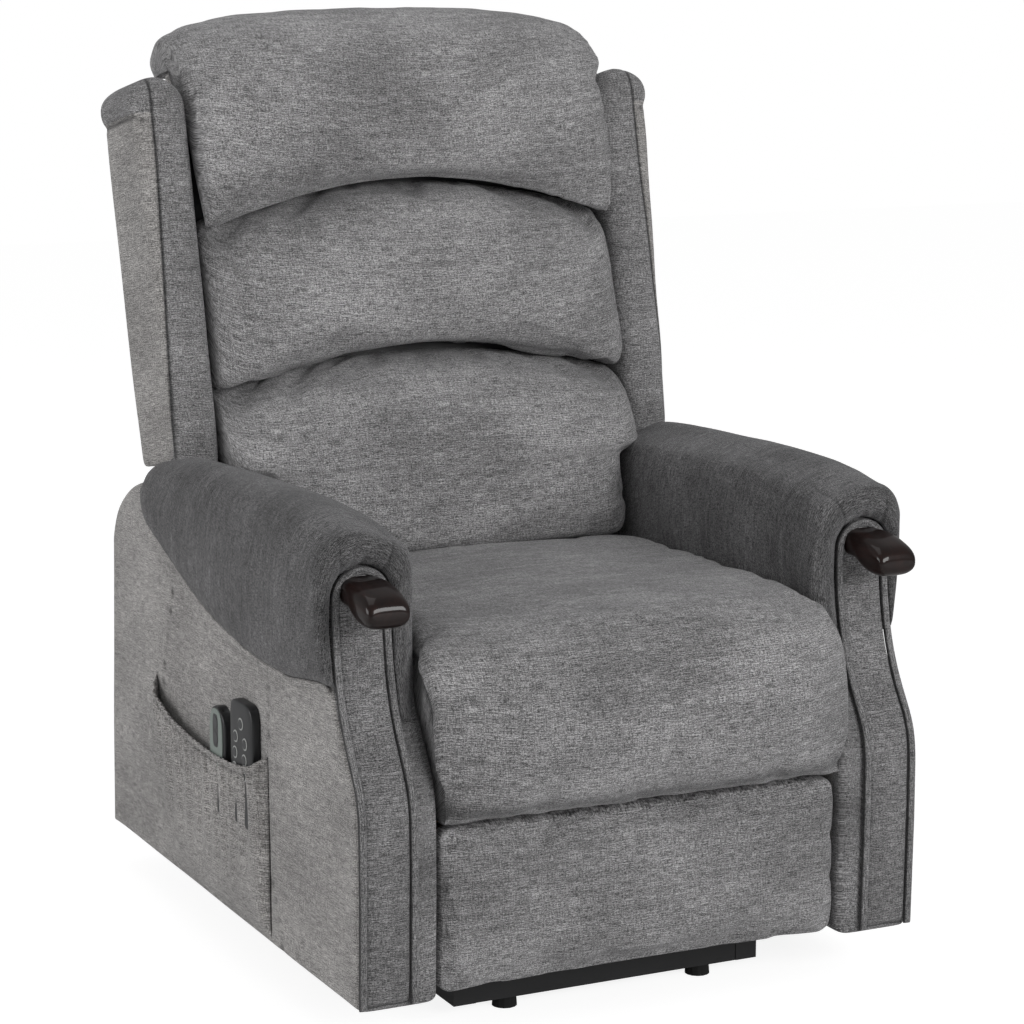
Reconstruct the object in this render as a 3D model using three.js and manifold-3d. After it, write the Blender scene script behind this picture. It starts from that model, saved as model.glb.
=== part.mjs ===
// Lift recliner chair: a padded armchair on a powered lift base.
// Millimetres, +Z up, the sitter faces -Y, X = 0 is the plane of symmetry, the floor is z = 0.
// "left" is the sitter's left (+X), "right" is the sitter's right (-X, the side with the pocket).

import * as THREE from 'three';
import Module from 'manifold-3d';
import { mergeVertices } from 'three/addons/utils/BufferGeometryUtils.js';

const wasm = await Module();
wasm.setup();

// ---------------------------------------------------------------- driving sizes

const GAP = 0.3;              // clearance kept between pieces that touch
const SEAT_HALF = 254.5;      // half width of the seat cushion
const ARM_WIDTH = 99;         // width of a side panel with its padding
const ARM_INNER = SEAT_HALF + 3.5;         // inner plane of a side panel from the middle
const ARM_HALF = ARM_INNER + ARM_WIDTH;    // outer plane of a side panel from the middle
const SEAT_FRONT = -449;      // foremost point of the seat cushion
const SEAT_REAR = 120;        // rear of the seat cushion
const SEAT_TOP = 466;         // crown of the seat cushion
const SEAT_FLOOR = 262;       // underside of the seat cushion
const ARM_REAR = 457;         // rear edge of a side panel
const ARM_BOTTOM = 58;        // lower edge of a side panel
const ARM_TOP = 545;          // top of a side panel, under its pad
const PAD_HIGH = 44;          // crest of an arm pad over the side panel
const PAD_OVER = 23;          // how far an arm pad bulges past the side panel
const PAD_OUT = ARM_HALF + PAD_OVER;
const LEAN = 12.1 * Math.PI / 180;  // rearward lean of the back at rest
const BACK_Y = 288;           // where the rear plane of the back passes the top of the side panels
const BACK_Z = ARM_TOP;
const HEAD_TOP = 1125;        // top of the head pillow
const PANEL_HALF = SEAT_HALF - 1;          // half width of the footrest panel
const PANEL_FRONT = -395;     // front of the footrest panel
const PANEL_LOW = 68;         // lower edge of the footrest panel
const PANEL_HIGH = 252;       // upper edge of the footrest panel
const FOOT_R = 15;            // radius of a foot
const BASE_LOW = 13;          // underside of the base bars
const BAR_H = 25;             // height of the cross bars of the base
const RAIL_H = 28;            // height of the side rails of the base
const PLATE = 8;              // thickness of the lift links and side plates
const LINK = 6;               // thickness of the footrest links
const PIN_R = 6;              // radius of a pivot pin
const PLAY = 0.3;             // radial play of a pivot pin in its hole

// pivot places in the side view, [y, z], chair lowered and upright
const LIFT_LOW = [-253.7, 75.6];     // lower lift link on the base
const LIFT_UP = [-204.8, 110.5];     // upper lift link on the base
const SEAT_LOW = [147.7, 161.6];     // lower lift link on the seat side plate
const SEAT_UP = [326.7, 247.7];      // upper lift link on the seat side plate
const BACK_PIVOT = [230, 262];       // back frame on the seat side plate
const FOOT_A = [-266.7, 234.8];      // footrest drive shaft
const FOOT_S = [-271.9, 194.3];      // stay link on the seat side plate
const FOOT_B = [-165.2, 144.7];      // long link on the drive link
const FOOT_T = [-161.2, 83.3];       // stay link on the long link
const FOOT_E = [-157.6, 104.6];      // upper link on the drive link
const FOOT_D = [-338, 230.9];        // long link on the footrest bracket
const FOOT_U = [-334.7, 186.5];      // upper link on the footrest bracket

const LIFT_CRANK = 120;       // crank on the lift cross tube
const LIFT_CRANK_AT = 61.56;  // its angle from +Y at rest, degrees
const BACK_CRANK = 90;        // crank under the back pivot
const BACK_CRANK_AT = 294;
const FOOT_CRANK = 45;        // crank on the footrest drive shaft
const FOOT_CRANK_AT = 318.41;

// planes of the flat links, each the inner face from the middle, from inside out
const X_LOW = SEAT_HALF - 81.5;               // lower lift links
const X_SIDE = X_LOW + PLATE + 1;             // base risers and seat side plates
const X_UP = X_SIDE + PLATE + 1;              // upper lift links
const X_STAY = X_UP + PLATE + 1;              // footrest stay links
const X_TOP = X_STAY + LINK + 1;              // footrest upper links
const X_DRIVE = X_TOP + LINK + 1;             // footrest drive links
const X_LONG = X_DRIVE + LINK + 1;            // footrest long links
const X_BRACKET = X_LONG + LINK + 1;          // footrest brackets

// ---------------------------------------------------------------- solids

function bare(geometry) {
  const g = new THREE.BufferGeometry();
  g.setAttribute('position', geometry.getAttribute('position').clone());
  if (geometry.index) g.setIndex(geometry.index.clone());
  return mergeVertices(g, 1e-3);
}

function signedVolume(g) {
  const p = g.getAttribute('position');
  const a = new THREE.Vector3();
  const b = new THREE.Vector3();
  const c = new THREE.Vector3();
  let v = 0;
  for (let i = 0; i < g.index.count; i += 3) {
    a.fromBufferAttribute(p, g.index.getX(i));
    b.fromBufferAttribute(p, g.index.getX(i + 1));
    c.fromBufferAttribute(p, g.index.getX(i + 2));
    v += a.dot(b.cross(c));
  }
  return v;
}

function flipped(g) {
  const index = Array.from(g.index.array);
  for (let i = 0; i < index.length; i += 3) {
    const keep = index[i];
    index[i] = index[i + 1];
    index[i + 1] = keep;
  }
  g.setIndex(index);
  return g;
}

function outward(geometry) {
  const g = bare(geometry);
  return signedVolume(g) < 0 ? flipped(g) : g;
}

function toSolid(geometry) {
  const g = outward(geometry);
  const vertProperties = new Float32Array(g.getAttribute('position').array);
  const triVerts = new Uint32Array(g.index.array);
  const mesh = new wasm.Mesh({ numProp: 3, vertProperties, triVerts });
  mesh.merge();
  return new wasm.Manifold(mesh);
}

function toGeometry(solid) {
  const mesh = solid.getMesh();
  const g = new THREE.BufferGeometry();
  g.setAttribute('position', new THREE.BufferAttribute(new Float32Array(mesh.vertProperties), 3));
  g.setIndex(Array.from(mesh.triVerts));
  return g;
}

function fuse(...pieces) {
  return toGeometry(pieces.map(toSolid).reduce((sum, next) => sum.add(next)));
}

function cut(piece, ...tools) {
  return toGeometry(tools.map(toSolid).reduce((rest, tool) => rest.subtract(tool), toSolid(piece)));
}

function mirrored(geometry) {
  const g = bare(geometry);
  g.applyMatrix4(new THREE.Matrix4().makeScale(-1, 1, 1));
  return flipped(g);
}

function box(x0, x1, y0, y1, z0, z1) {
  const g = new THREE.BoxGeometry(x1 - x0, y1 - y0, z1 - z0);
  return g.translate((x0 + x1) / 2, (y0 + y1) / 2, (z0 + z1) / 2);
}

// turns a shape drawn in [y, z] and extruded along its own z into one extruded along +X
const SIDE_VIEW = new THREE.Matrix4().set(0, 0, 1, 0, 1, 0, 0, 0, 0, 1, 0, 0, 0, 0, 0, 1);

function shapeOf(points, holes = []) {
  const shape = new THREE.Shape(points.map((p) => new THREE.Vector2(p[0], p[1])));
  for (const [centre, r] of holes) {
    const path = new THREE.Path();
    path.absarc(centre[0], centre[1], r / Math.cos(Math.PI / 12), 0, 2 * Math.PI, true);
    shape.holes.push(path);
  }
  return shape;
}

function plate(points, x0, x1, holes = []) {
  const settings = { depth: x1 - x0, bevelEnabled: false, curveSegments: 6 };
  const g = new THREE.ExtrudeGeometry(shapeOf(points, holes), settings);
  g.applyMatrix4(SIDE_VIEW);
  return g.translate(x0, 0, 0);
}

function softPlate(points, x0, x1, edge) {
  const settings = {
    depth: x1 - x0 - 2 * edge,
    bevelThickness: edge,
    bevelSize: edge,
    bevelOffset: -edge,
    bevelSegments: 2,
    curveSegments: 8,
  };
  const g = new THREE.ExtrudeGeometry(shapeOf(points), settings);
  g.applyMatrix4(SIDE_VIEW);
  return g.translate(x0 + edge, 0, 0);
}

function pin(centre, x0, x1, r = PIN_R, sides = 12) {
  const g = new THREE.CylinderGeometry(r, r, x1 - x0, sides);
  g.rotateZ(Math.PI / 2);
  return g.translate((x0 + x1) / 2, centre[0], centre[1]);
}

function hull2(points) {
  const sorted = [...points].sort((a, b) => a[0] - b[0] || a[1] - b[1]);
  const half = (list) => {
    const out = [];
    for (const p of list) {
      while (out.length > 1) {
        const a = out[out.length - 2];
        const b = out[out.length - 1];
        if ((b[0] - a[0]) * (p[1] - a[1]) - (b[1] - a[1]) * (p[0] - a[0]) > 1e-9) break;
        out.pop();
      }
      out.push(p);
    }
    out.pop();
    return out;
  };
  return [...half(sorted), ...half(sorted.reverse())];
}

function roundedHull(centres, r) {
  const points = [];
  for (const [y, z] of centres) {
    for (let k = 0; k < 12; k += 1) {
      const a = (k / 12) * 2 * Math.PI;
      points.push([y + r * Math.cos(a), z + r * Math.sin(a)]);
    }
  }
  return hull2(points);
}

function polar(centre, r, degrees) {
  const a = degrees * Math.PI / 180;
  return [centre[0] + r * Math.cos(a), centre[1] + r * Math.sin(a)];
}

// a closed skin through rings of equal length; each end is closed flat across its ring
function loft(rings, flat = 'x') {
  const n = rings[0].length;
  const position = rings.flat(2);
  const index = [];
  for (let i = 0; i + 1 < rings.length; i += 1) {
    for (let j = 0; j < n; j += 1) {
      const a = i * n + j;
      const b = i * n + (j + 1) % n;
      index.push(a, b, a + n, b, b + n, a + n);
    }
  }
  const drawn = { x: [1, 2], y: [0, 2], z: [0, 1] }[flat];
  for (const [ring, start, turn] of [[rings[0], 0, 1], [rings.at(-1), (rings.length - 1) * n, -1]]) {
    const outline = ring.map((p) => new THREE.Vector2(p[drawn[0]], p[drawn[1]]));
    const clockwise = THREE.ShapeUtils.isClockWise(outline);
    for (const [a, b, c] of THREE.ShapeUtils.triangulateShape(outline, [])) {
      const reverse = clockwise !== (turn < 0) !== (flat === 'y');
      if (reverse) index.push(start + a, start + c, start + b);
      else index.push(start + a, start + b, start + c);
    }
  }
  const g = new THREE.BufferGeometry();
  g.setAttribute('position', new THREE.BufferAttribute(new Float32Array(position), 3));
  g.setIndex(index);
  return consistent(g);
}

// gives every face of a closed skin the same turn as its neighbours, then points them outward
function consistent(geometry) {
  const g = bare(geometry);
  const idx = Array.from(g.index.array);
  const faces = idx.length / 3;
  const edges = new Map();
  for (let f = 0; f < faces; f += 1) {
    for (let k = 0; k < 3; k += 1) {
      const a = idx[3 * f + k];
      const b = idx[3 * f + (k + 1) % 3];
      const key = a < b ? `${a}_${b}` : `${b}_${a}`;
      if (!edges.has(key)) edges.set(key, []);
      edges.get(key).push([f, a < b]);
    }
  }
  const turned = new Array(faces).fill(null);
  turned[0] = false;
  const queue = [0];
  while (queue.length) {
    const f = queue.pop();
    for (let k = 0; k < 3; k += 1) {
      const a = idx[3 * f + k];
      const b = idx[3 * f + (k + 1) % 3];
      const key = a < b ? `${a}_${b}` : `${b}_${a}`;
      for (const [other, way] of edges.get(key)) {
        if (other === f || turned[other] !== null) continue;
        turned[other] = (way === (a < b)) !== turned[f];
        queue.push(other);
      }
    }
  }
  for (let f = 0; f < faces; f += 1) {
    if (!turned[f]) continue;
    const keep = idx[3 * f];
    idx[3 * f] = idx[3 * f + 1];
    idx[3 * f + 1] = keep;
  }
  g.setIndex(idx);
  return signedVolume(g) < 0 ? flipped(g) : g;
}

const mix = (a, b, t) => a + (b - a) * t;
const smooth = (a, b, v) => {
  const t = Math.min(1, Math.max(0, (v - a) / (b - a)));
  return t * t * (3 - 2 * t);
};

function table(rows, at) {
  if (at <= rows[0][0]) return rows[0].slice(1);
  for (let i = 1; i < rows.length; i += 1) {
    if (at > rows[i][0]) continue;
    const t = (at - rows[i - 1][0]) / (rows[i][0] - rows[i - 1][0]);
    return rows[i].slice(1).map((v, k) => mix(rows[i - 1][k + 1], v, t));
  }
  return rows.at(-1).slice(1);
}

function closedSpline(points, count) {
  const path = points.map((p) => new THREE.Vector3(0, p[0], p[1]));
  const curve = new THREE.CatmullRomCurve3(path, true, 'centripetal');
  const out = [];
  for (let i = 0; i < count; i += 1) {
    const p = curve.getPoint(i / count);
    out.push([p.y, p.z]);
  }
  return out;
}

// a rounded box outline in two axes: half sizes a, b, squareness from 2 (ellipse) upward
function superRing(a, b, power, count) {
  const out = [];
  for (let i = 0; i < count; i += 1) {
    const t = (i / count) * 2 * Math.PI;
    const c = Math.cos(t);
    const s = Math.sin(t);
    out.push([
      a * Math.sign(c) * Math.abs(c) ** (2 / power),
      b * Math.sign(s) * Math.abs(s) ** (2 / power),
    ]);
  }
  return out;
}

// a point of the back from its own axes: x, d rearward of the rear plane, w up along the back
function onBack(x, d, w) {
  return [
    x,
    BACK_Y + w * Math.sin(LEAN) + d * Math.cos(LEAN),
    BACK_Z + w * Math.cos(LEAN) - d * Math.sin(LEAN),
  ];
}

function backSlab(outline, d0, d1) {
  const g = new THREE.ExtrudeGeometry(shapeOf(outline), { depth: d1 - d0, bevelEnabled: false });
  const across = new THREE.Vector3(1, 0, 0);
  const up = new THREE.Vector3(0, Math.sin(LEAN), Math.cos(LEAN));
  const rear = new THREE.Vector3(0, Math.cos(LEAN), -Math.sin(LEAN));
  const m = new THREE.Matrix4().makeBasis(across, up, rear);
  m.setPosition(...onBack(0, d0, 0));
  g.applyMatrix4(m);
  return g;
}

// ---------------------------------------------------------------- the object

const chair = new THREE.Group();
const pieces = [];

const LOOKS = {
  fabric: { color: 0x6f6e6c, roughness: 0.95, metalness: 0 },
  lining: { color: 0x26262a, roughness: 0.9, metalness: 0 },
  steel: { color: 0x151517, roughness: 0.5, metalness: 0.6 },
  bright: { color: 0xb4b6b8, roughness: 0.3, metalness: 0.9 },
  timber: { color: 0xa9825a, roughness: 0.7, metalness: 0 },
  mahogany: { color: 0x3a130d, roughness: 0.25, metalness: 0 },
  plastic: { color: 0x141416, roughness: 0.45, metalness: 0 },
  keys: { color: 0x9aa09a, roughness: 0.5, metalness: 0 },
  rubber: { color: 0x101010, roughness: 0.85, metalness: 0 },
};

function add(name, geometry, look) {
  const mesh = new THREE.Mesh(outward(geometry), new THREE.MeshStandardMaterial(LOOKS[look]));
  mesh.name = name;
  pieces.push(mesh);
}

function addPair(name, geometry, look) {
  add(`${name}_left`, geometry, look);
  add(`${name}_right`, mirrored(geometry), look);
}

// ---- base: two rails with pivot risers, front and rear bars, four feet

const RAIL_IN = X_SIDE - 10;
const RAIL_OUT = X_SIDE + PLATE + 10;
const BASE_FRONT = -306;
const BASE_REAR = 418;
const FOOT_X = RAIL_IN - 44;
const FRONT_BAR_Y = -290;
const REAR_BAR_Y = 400;
const BAR_W = 30;

const rail = fuse(
  box(RAIL_IN, RAIL_OUT, BASE_FRONT, BASE_REAR, BASE_LOW, BASE_LOW + RAIL_H),
  plate(
    [
      [LIFT_LOW[0] - 34, BASE_LOW + 4],
      [LIFT_UP[0] + 36, BASE_LOW + 4],
      [LIFT_UP[0] + 15, LIFT_UP[1] + 6],
      [LIFT_UP[0] + 5, LIFT_UP[1] + 15],
      [LIFT_UP[0] - 10, LIFT_UP[1] + 14],
      [LIFT_LOW[0] - 8, LIFT_LOW[1] + 15],
      [LIFT_LOW[0] - 17, LIFT_LOW[1] + 6],
    ],
    X_SIDE,
    X_SIDE + PLATE,
  ),
  pin(LIFT_LOW, X_LOW, X_SIDE + PLATE / 2),
  pin(LIFT_UP, X_SIDE + PLATE / 2, X_UP + PLATE),
);
addPair('base_rail', rail, 'steel');
const frontBar = box(
  -RAIL_IN + GAP, RAIL_IN - GAP,
  FRONT_BAR_Y - BAR_W / 2, FRONT_BAR_Y + BAR_W / 2,
  BASE_LOW, BASE_LOW + BAR_H,
);
add('base_front_bar', frontBar, 'steel');

const LIFT_ROD_Z = LIFT_LOW[1] + LIFT_CRANK * (1 + Math.sin(LIFT_CRANK_AT * Math.PI / 180)) / 2;
const LIFT_TAIL_Y = REAR_BAR_Y - BAR_W / 2 + 8;
const rearBar = fuse(
  box(
    -RAIL_IN + GAP, RAIL_IN - GAP,
    REAR_BAR_Y - BAR_W / 2, REAR_BAR_Y + BAR_W / 2,
    BASE_LOW, BASE_LOW + BAR_H,
  ),
  box(-28, 28, LIFT_TAIL_Y - 8, LIFT_TAIL_Y, BASE_LOW + 5, LIFT_ROD_Z + 24),
);
add('base_rear_bar', rearBar, 'steel');

const footOutline = [[0, 0], [FOOT_R, 0], [FOOT_R - 1, BASE_LOW - GAP], [0, BASE_LOW - GAP]];
const foot = new THREE.LatheGeometry(footOutline.map((p) => new THREE.Vector2(p[0], p[1])), 14);
foot.rotateX(Math.PI / 2);
for (const [end, y] of [['front', FRONT_BAR_Y], ['rear', REAR_BAR_Y]]) {
  add(`foot_${end}_left`, foot.clone().translate(FOOT_X, y, 0), 'rubber');
  add(`foot_${end}_right`, foot.clone().translate(-FOOT_X, y, 0), 'rubber');
}

// ---- lift linkage

const LUG = 14;
const HOLE = PIN_R + PLAY;
const TUBE_R = 13;
const liftPin = polar(LIFT_LOW, LIFT_CRANK, LIFT_CRANK_AT);
const lowLink = plate(
  roundedHull([LIFT_LOW, SEAT_LOW], LUG),
  X_LOW, X_LOW + PLATE,
  [[LIFT_LOW, HOLE], [SEAT_LOW, HOLE]],
);
const crossAt = [mix(LIFT_LOW[0], SEAT_LOW[0], 0.075), mix(LIFT_LOW[1], SEAT_LOW[1], 0.075)];
const liftArms = fuse(
  lowLink,
  mirrored(lowLink),
  pin(crossAt, -X_LOW - 2, X_LOW + 2, 11, 14),
  plate(roundedHull([crossAt, liftPin], 12), -4, 4),
  pin(liftPin, -10, 10, 5),
);
add('lift_arms', liftArms, 'steel');

const upLink = plate(
  roundedHull([LIFT_UP, SEAT_UP], LUG),
  X_UP, X_UP + PLATE,
  [[LIFT_UP, HOLE], [SEAT_UP, HOLE]],
);
addPair('lift_upper_link', upLink, 'steel');

// ---- seat side plates, rails and deck

const RAIL_TOP = 246;
const RAIL_LOW = 222;
const sidePlate = fuse(
  plate(
    [
      [-342, RAIL_TOP], [-342, 222], [-300, 180], [-262, 172], [-140, 186], [60, 176],
      [126, 147], [166, 144], [188, 152], [345, 232], [344, 258], [330, 268],
      [252, 274], [238, 282], [220, 281], [206, 268], [170, RAIL_TOP],
    ],
    X_SIDE, X_SIDE + PLATE,
    [[FOOT_A, 9 + PLAY]],
  ),
  pin(SEAT_LOW, X_LOW, X_SIDE + PLATE / 2),
  pin(BACK_PIVOT, X_LOW, X_SIDE + PLATE / 2),
  pin(SEAT_UP, X_SIDE + PLATE / 2, X_UP + PLATE),
  pin(FOOT_S, X_SIDE + PLATE / 2, X_STAY + LINK),
);
addPair('seat_side_plate', sidePlate, 'steel');

const BACK_ROD_Z = BACK_PIVOT[1] - BACK_CRANK * (1 + Math.sin((360 - BACK_CRANK_AT) * Math.PI / 180)) / 2;
const FOOT_ROD_Z = FOOT_A[1] - FOOT_CRANK * (1 + Math.sin((360 - FOOT_CRANK_AT) * Math.PI / 180)) / 2;
const LANE = 85;
const FRONT_RAIL = [-340, -322];
const REAR_RAIL = [122, 140];
const railSpan = X_SIDE - GAP;
const frontRail = fuse(
  box(-railSpan, railSpan, FRONT_RAIL[0], FRONT_RAIL[1], RAIL_LOW, RAIL_TOP),
  box(LANE - 26, LANE + 26, FRONT_RAIL[1] - 8, FRONT_RAIL[1], BACK_ROD_Z - 26, RAIL_LOW + 4),
);
add('seat_front_rail', frontRail, 'steel');
const rearRail = fuse(
  box(-railSpan, railSpan, REAR_RAIL[0], REAR_RAIL[1], RAIL_LOW, RAIL_TOP),
  box(-LANE - 26, -LANE + 26, REAR_RAIL[0], REAR_RAIL[0] + 8, FOOT_ROD_Z - 26, RAIL_LOW + 4),
);
add('seat_rear_rail', rearRail, 'steel');
const deck = box(
  -ARM_INNER + GAP, ARM_INNER - GAP,
  FRONT_RAIL[0] - 2, REAR_RAIL[1] + 4,
  RAIL_TOP + GAP, SEAT_FLOOR - GAP,
);
add('seat_deck', deck, 'timber');

// ---- actuators: a motor with its tube, and a rod that slides in it with a slotted fork

const ROD_R = 8;
const TUBE = 15;

// tail and mouth are the ends of the tube along Y, way is +1 or -1 for the side the rod leaves by
function actuator(name, x, z, tail, mouth, tip, slot, travelIn) {
  const way = Math.sign(mouth - tail);
  const along = (from, to, r, sides = 14) => {
    const g = new THREE.CylinderGeometry(r, r, Math.abs(to - from), sides);
    return g.translate(x, (from + to) / 2, z);
  };
  const motorEnd = tail + way * 92;
  const motor = box(
    x - 24, x + 24,
    Math.min(tail, motorEnd), Math.max(tail, motorEnd),
    z - 24, z + 22,
  );
  const innerEnd = tip - way * (Math.abs(tip - mouth) + 70);
  const bore = innerEnd - way * travelIn;
  const body = cut(
    fuse(motor, along(tail + way * 60, mouth, TUBE)),
    along(bore, mouth + way * 5, ROD_R + PLAY),
  );
  add(`${name}_motor`, body, 'plastic');
  const root = tip - way * 32;
  const fork = [];
  for (const side of [-1, 1]) {
    const inner = x + side * 4.8;
    const outer = x + side * 10.2;
    fork.push(plate(
      [
        [root, z - slot / 2 - 11], [root, z + slot / 2 + 11],
        [tip + way * 12, z + slot / 2 + 11], [tip + way * 12, z - slot / 2 - 11],
      ],
      Math.min(inner, outer), Math.max(inner, outer),
    ));
  }
  const slotCut = box(x - 12, x + 12, tip - 7.2, tip + 7.2, z - slot / 2 - 5.8, z + slot / 2 + 5.8);
  const head = box(
    x - 10.2, x + 10.2,
    Math.min(root, root + way * 9), Math.max(root, root + way * 9),
    z - 9, z + 9,
  );
  const rod = cut(fuse(along(innerEnd, root + way * 5, ROD_R), head, ...fork), slotCut);
  add(`${name}_rod`, rod, 'bright');
}

const backPin = polar(BACK_PIVOT, BACK_CRANK, BACK_CRANK_AT);
const footPin = polar(FOOT_A, FOOT_CRANK, FOOT_CRANK_AT);
const swing = (r, at) => r * (1 - Math.abs(Math.sin(at * Math.PI / 180)));
actuator(
  'lift', 0, LIFT_ROD_Z, LIFT_TAIL_Y - 8 - GAP, liftPin[0] + 36, liftPin[0],
  swing(LIFT_CRANK, LIFT_CRANK_AT), 10,
);
actuator(
  'recline', LANE, BACK_ROD_Z, FRONT_RAIL[1] + GAP, backPin[0] - 116, backPin[0],
  swing(BACK_CRANK, BACK_CRANK_AT), 90,
);
actuator(
  'footrest', -LANE, FOOT_ROD_Z, REAR_RAIL[0] - GAP, footPin[0] + 36, footPin[0],
  swing(FOOT_CRANK, FOOT_CRANK_AT), 10,
);

// ---- footrest linkage and panel

const SHAFT_R = 9;
const FLUG = 11;
const driveLink = plate(
  roundedHull([FOOT_A, FOOT_B, FOOT_E], FLUG),
  X_DRIVE, X_DRIVE + LINK,
);
const driveSide = fuse(
  driveLink,
  pin(FOOT_B, X_DRIVE + LINK / 2, X_LONG + LINK, 5),
  pin(FOOT_E, X_TOP, X_DRIVE + LINK / 2, 5),
);
const driveLinks = fuse(
  driveSide,
  mirrored(driveSide),
  pin(FOOT_A, -X_DRIVE - LINK / 2, X_DRIVE + LINK / 2, SHAFT_R, 14),
  plate(roundedHull([FOOT_A, footPin], 11), -LANE - 4, -LANE + 4),
  pin(footPin, -LANE - 10, -LANE + 10, 5),
);
add('footrest_drive_links', driveLinks, 'steel');

const longLink = fuse(
  plate(
    roundedHull([FOOT_D, FOOT_B, FOOT_T], FLUG),
    X_LONG, X_LONG + LINK,
    [[FOOT_D, 5 + PLAY], [FOOT_B, 5 + PLAY]],
  ),
  pin(FOOT_T, X_STAY + 1, X_LONG + LINK / 2, 4.5),
);
addPair('footrest_long_link', longLink, 'steel');
const topLink = plate(
  roundedHull([FOOT_E, FOOT_U], 9),
  X_TOP, X_TOP + LINK,
  [[FOOT_E, 5 + PLAY], [FOOT_U, 6]],
);
addPair('footrest_upper_link', topLink, 'steel');
const stay = plate(
  roundedHull([FOOT_S, FOOT_T], FLUG),
  X_STAY, X_STAY + LINK,
  [[FOOT_S, PIN_R + PLAY], [FOOT_T, 6.2]],
);
addPair('footrest_stay_link', stay, 'steel');

const PAD_THICK = 28;
const BOARD_FRONT = PANEL_FRONT + PAD_THICK + GAP;
const BOARD_REAR = BOARD_FRONT + 15;
const bracket = fuse(
  plate(
    [
      [BOARD_REAR - 2, FOOT_U[1] - 60], [FOOT_U[0] + 6, FOOT_U[1] - 12], [FOOT_D[0] + 10, FOOT_D[1] - 8],
      [FOOT_D[0] + 10, FOOT_D[1] + 7], [FOOT_D[0] + 2, FOOT_D[1] + 13], [BOARD_REAR - 2, FOOT_D[1] + 13],
    ],
    X_BRACKET, X_BRACKET + LINK,
  ),
  pin(FOOT_D, X_LONG, X_BRACKET + LINK / 2, 5),
  pin(FOOT_U, X_TOP, X_BRACKET + LINK / 2, 4.5),
);
const board = fuse(
  box(
    -PANEL_HALF + 8, PANEL_HALF - 8,
    BOARD_FRONT, BOARD_REAR,
    PANEL_LOW + 6, PANEL_HIGH - 6,
  ),
  bracket,
  mirrored(bracket),
);
add('footrest_board', board, 'steel');

function cushionAcross(half, stations, ringAt) {
  const rings = [];
  for (const s of stations) {
    rings.push(ringAt(s * half, Math.abs(s)).map(([y, z, wider = 1]) => [s * half * wider, y, z]));
  }
  return loft(rings, 'x');
}

const ACROSS = [-1, -0.985, -0.93, -0.8, -0.55, -0.25, 0, 0.25, 0.55, 0.8, 0.93, 0.985, 1];
const panelMid = (PANEL_LOW + PANEL_HIGH) / 2;
const panelHigh = (PANEL_HIGH - PANEL_LOW) / 2;
const footPad = cushionAcross(PANEL_HALF, ACROSS, (x, s) => {
  const edge = 1 - smooth(0.9, 1, s);
  const thick = PAD_THICK / 2 * mix(0.62, 1, edge);
  const high = panelHigh - 5 * (1 - edge);
  const centre = PANEL_FRONT + PAD_THICK - thick;
  return superRing(thick, high, 5, 20).map((p) => [centre + p[0], panelMid + p[1]]);
});
add('footrest_pad', footPad, 'fabric');

// the front edge of an arm in the side view: height, depth
const ARM_FRONT = [
  [ARM_BOTTOM, -399], [190, -402], [272, -401.5], [298, -397.5], [314, -390.5], [330, -380], [346, -369.5],
  [364, -359.5], [386, -349.5], [410, -342], [436, -336], [462, -332.5], [480, -331], [ARM_TOP + 2, -331],
];
const armFace = (z) => table(ARM_FRONT, z)[0];

// ---- seat cushion: a crowned top that rolls over the front, with a side gusset

const SEAT_MIDDLE = [
  [SEAT_REAR - 8, SEAT_FLOOR + 4], [0, SEAT_FLOOR], [-200, SEAT_FLOOR], [-370, SEAT_FLOOR],
  [-412, SEAT_FLOOR - 2], [-436, 300], [SEAT_FRONT, 360], [-444, 405], [-424, 442], [-385, 461],
  [-300, SEAT_TOP + 1], [-190, SEAT_TOP + 2],
  [-60, SEAT_TOP - 1], [50, SEAT_TOP - 9], [SEAT_REAR - 15, 440], [SEAT_REAR, 360],
];
const SEAT_SIDE = [
  [SEAT_REAR - 8, SEAT_FLOOR + 4], [0, SEAT_FLOOR], [-200, SEAT_FLOOR], [-360, SEAT_FLOOR], [-398, SEAT_FLOOR + 3],
  [-402, 300], [-396, 360], [-386, 405], [-362, 434], [-332, 448], [-270, 453], [-190, 454],
  [-60, 452], [50, 446], [SEAT_REAR - 15, 428], [SEAT_REAR - 2, 350],
];
const SEAT_SWELL = 9;         // how far the seat's front, ahead of the arms, swells past their inner planes
const seatRound = (x, s) => {
  const outer = (Math.abs(x) / SEAT_HALF - 0.66) / 0.34;
  const side = Math.min(1, Math.max(0, outer)) ** 1.5;
  const crown = smooth(0, 1, s) * 0.45 + side * 0.55;
  const inset = 7 * smooth(0.955, 1, s);
  const outline = SEAT_MIDDLE.map((p, i) => [mix(p[0], SEAT_SIDE[i][0], side), mix(p[1], SEAT_SIDE[i][1], crown)]);
  const mid = [-160, 360];
  return closedSpline(outline, 32).map(([y, z]) => {
    const ny = y - mid[0];
    const nz = z - mid[1];
    const far = Math.hypot(ny, nz);
    const yy = y - (ny / far) * inset;
    const zz = z - (nz / far) * inset;
    return [yy, yy > -404 ? Math.max(zz, SEAT_FLOOR) : zz, 1 + SEAT_SWELL / SEAT_HALF * smooth(-3, -20, yy - armFace(zz))];
  });
};
add('seat_cushion', cushionAcross(SEAT_HALF, ACROSS, seatRound), 'fabric');

// ---- arms: side panel, padded front, pad draped over the top, knob

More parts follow.
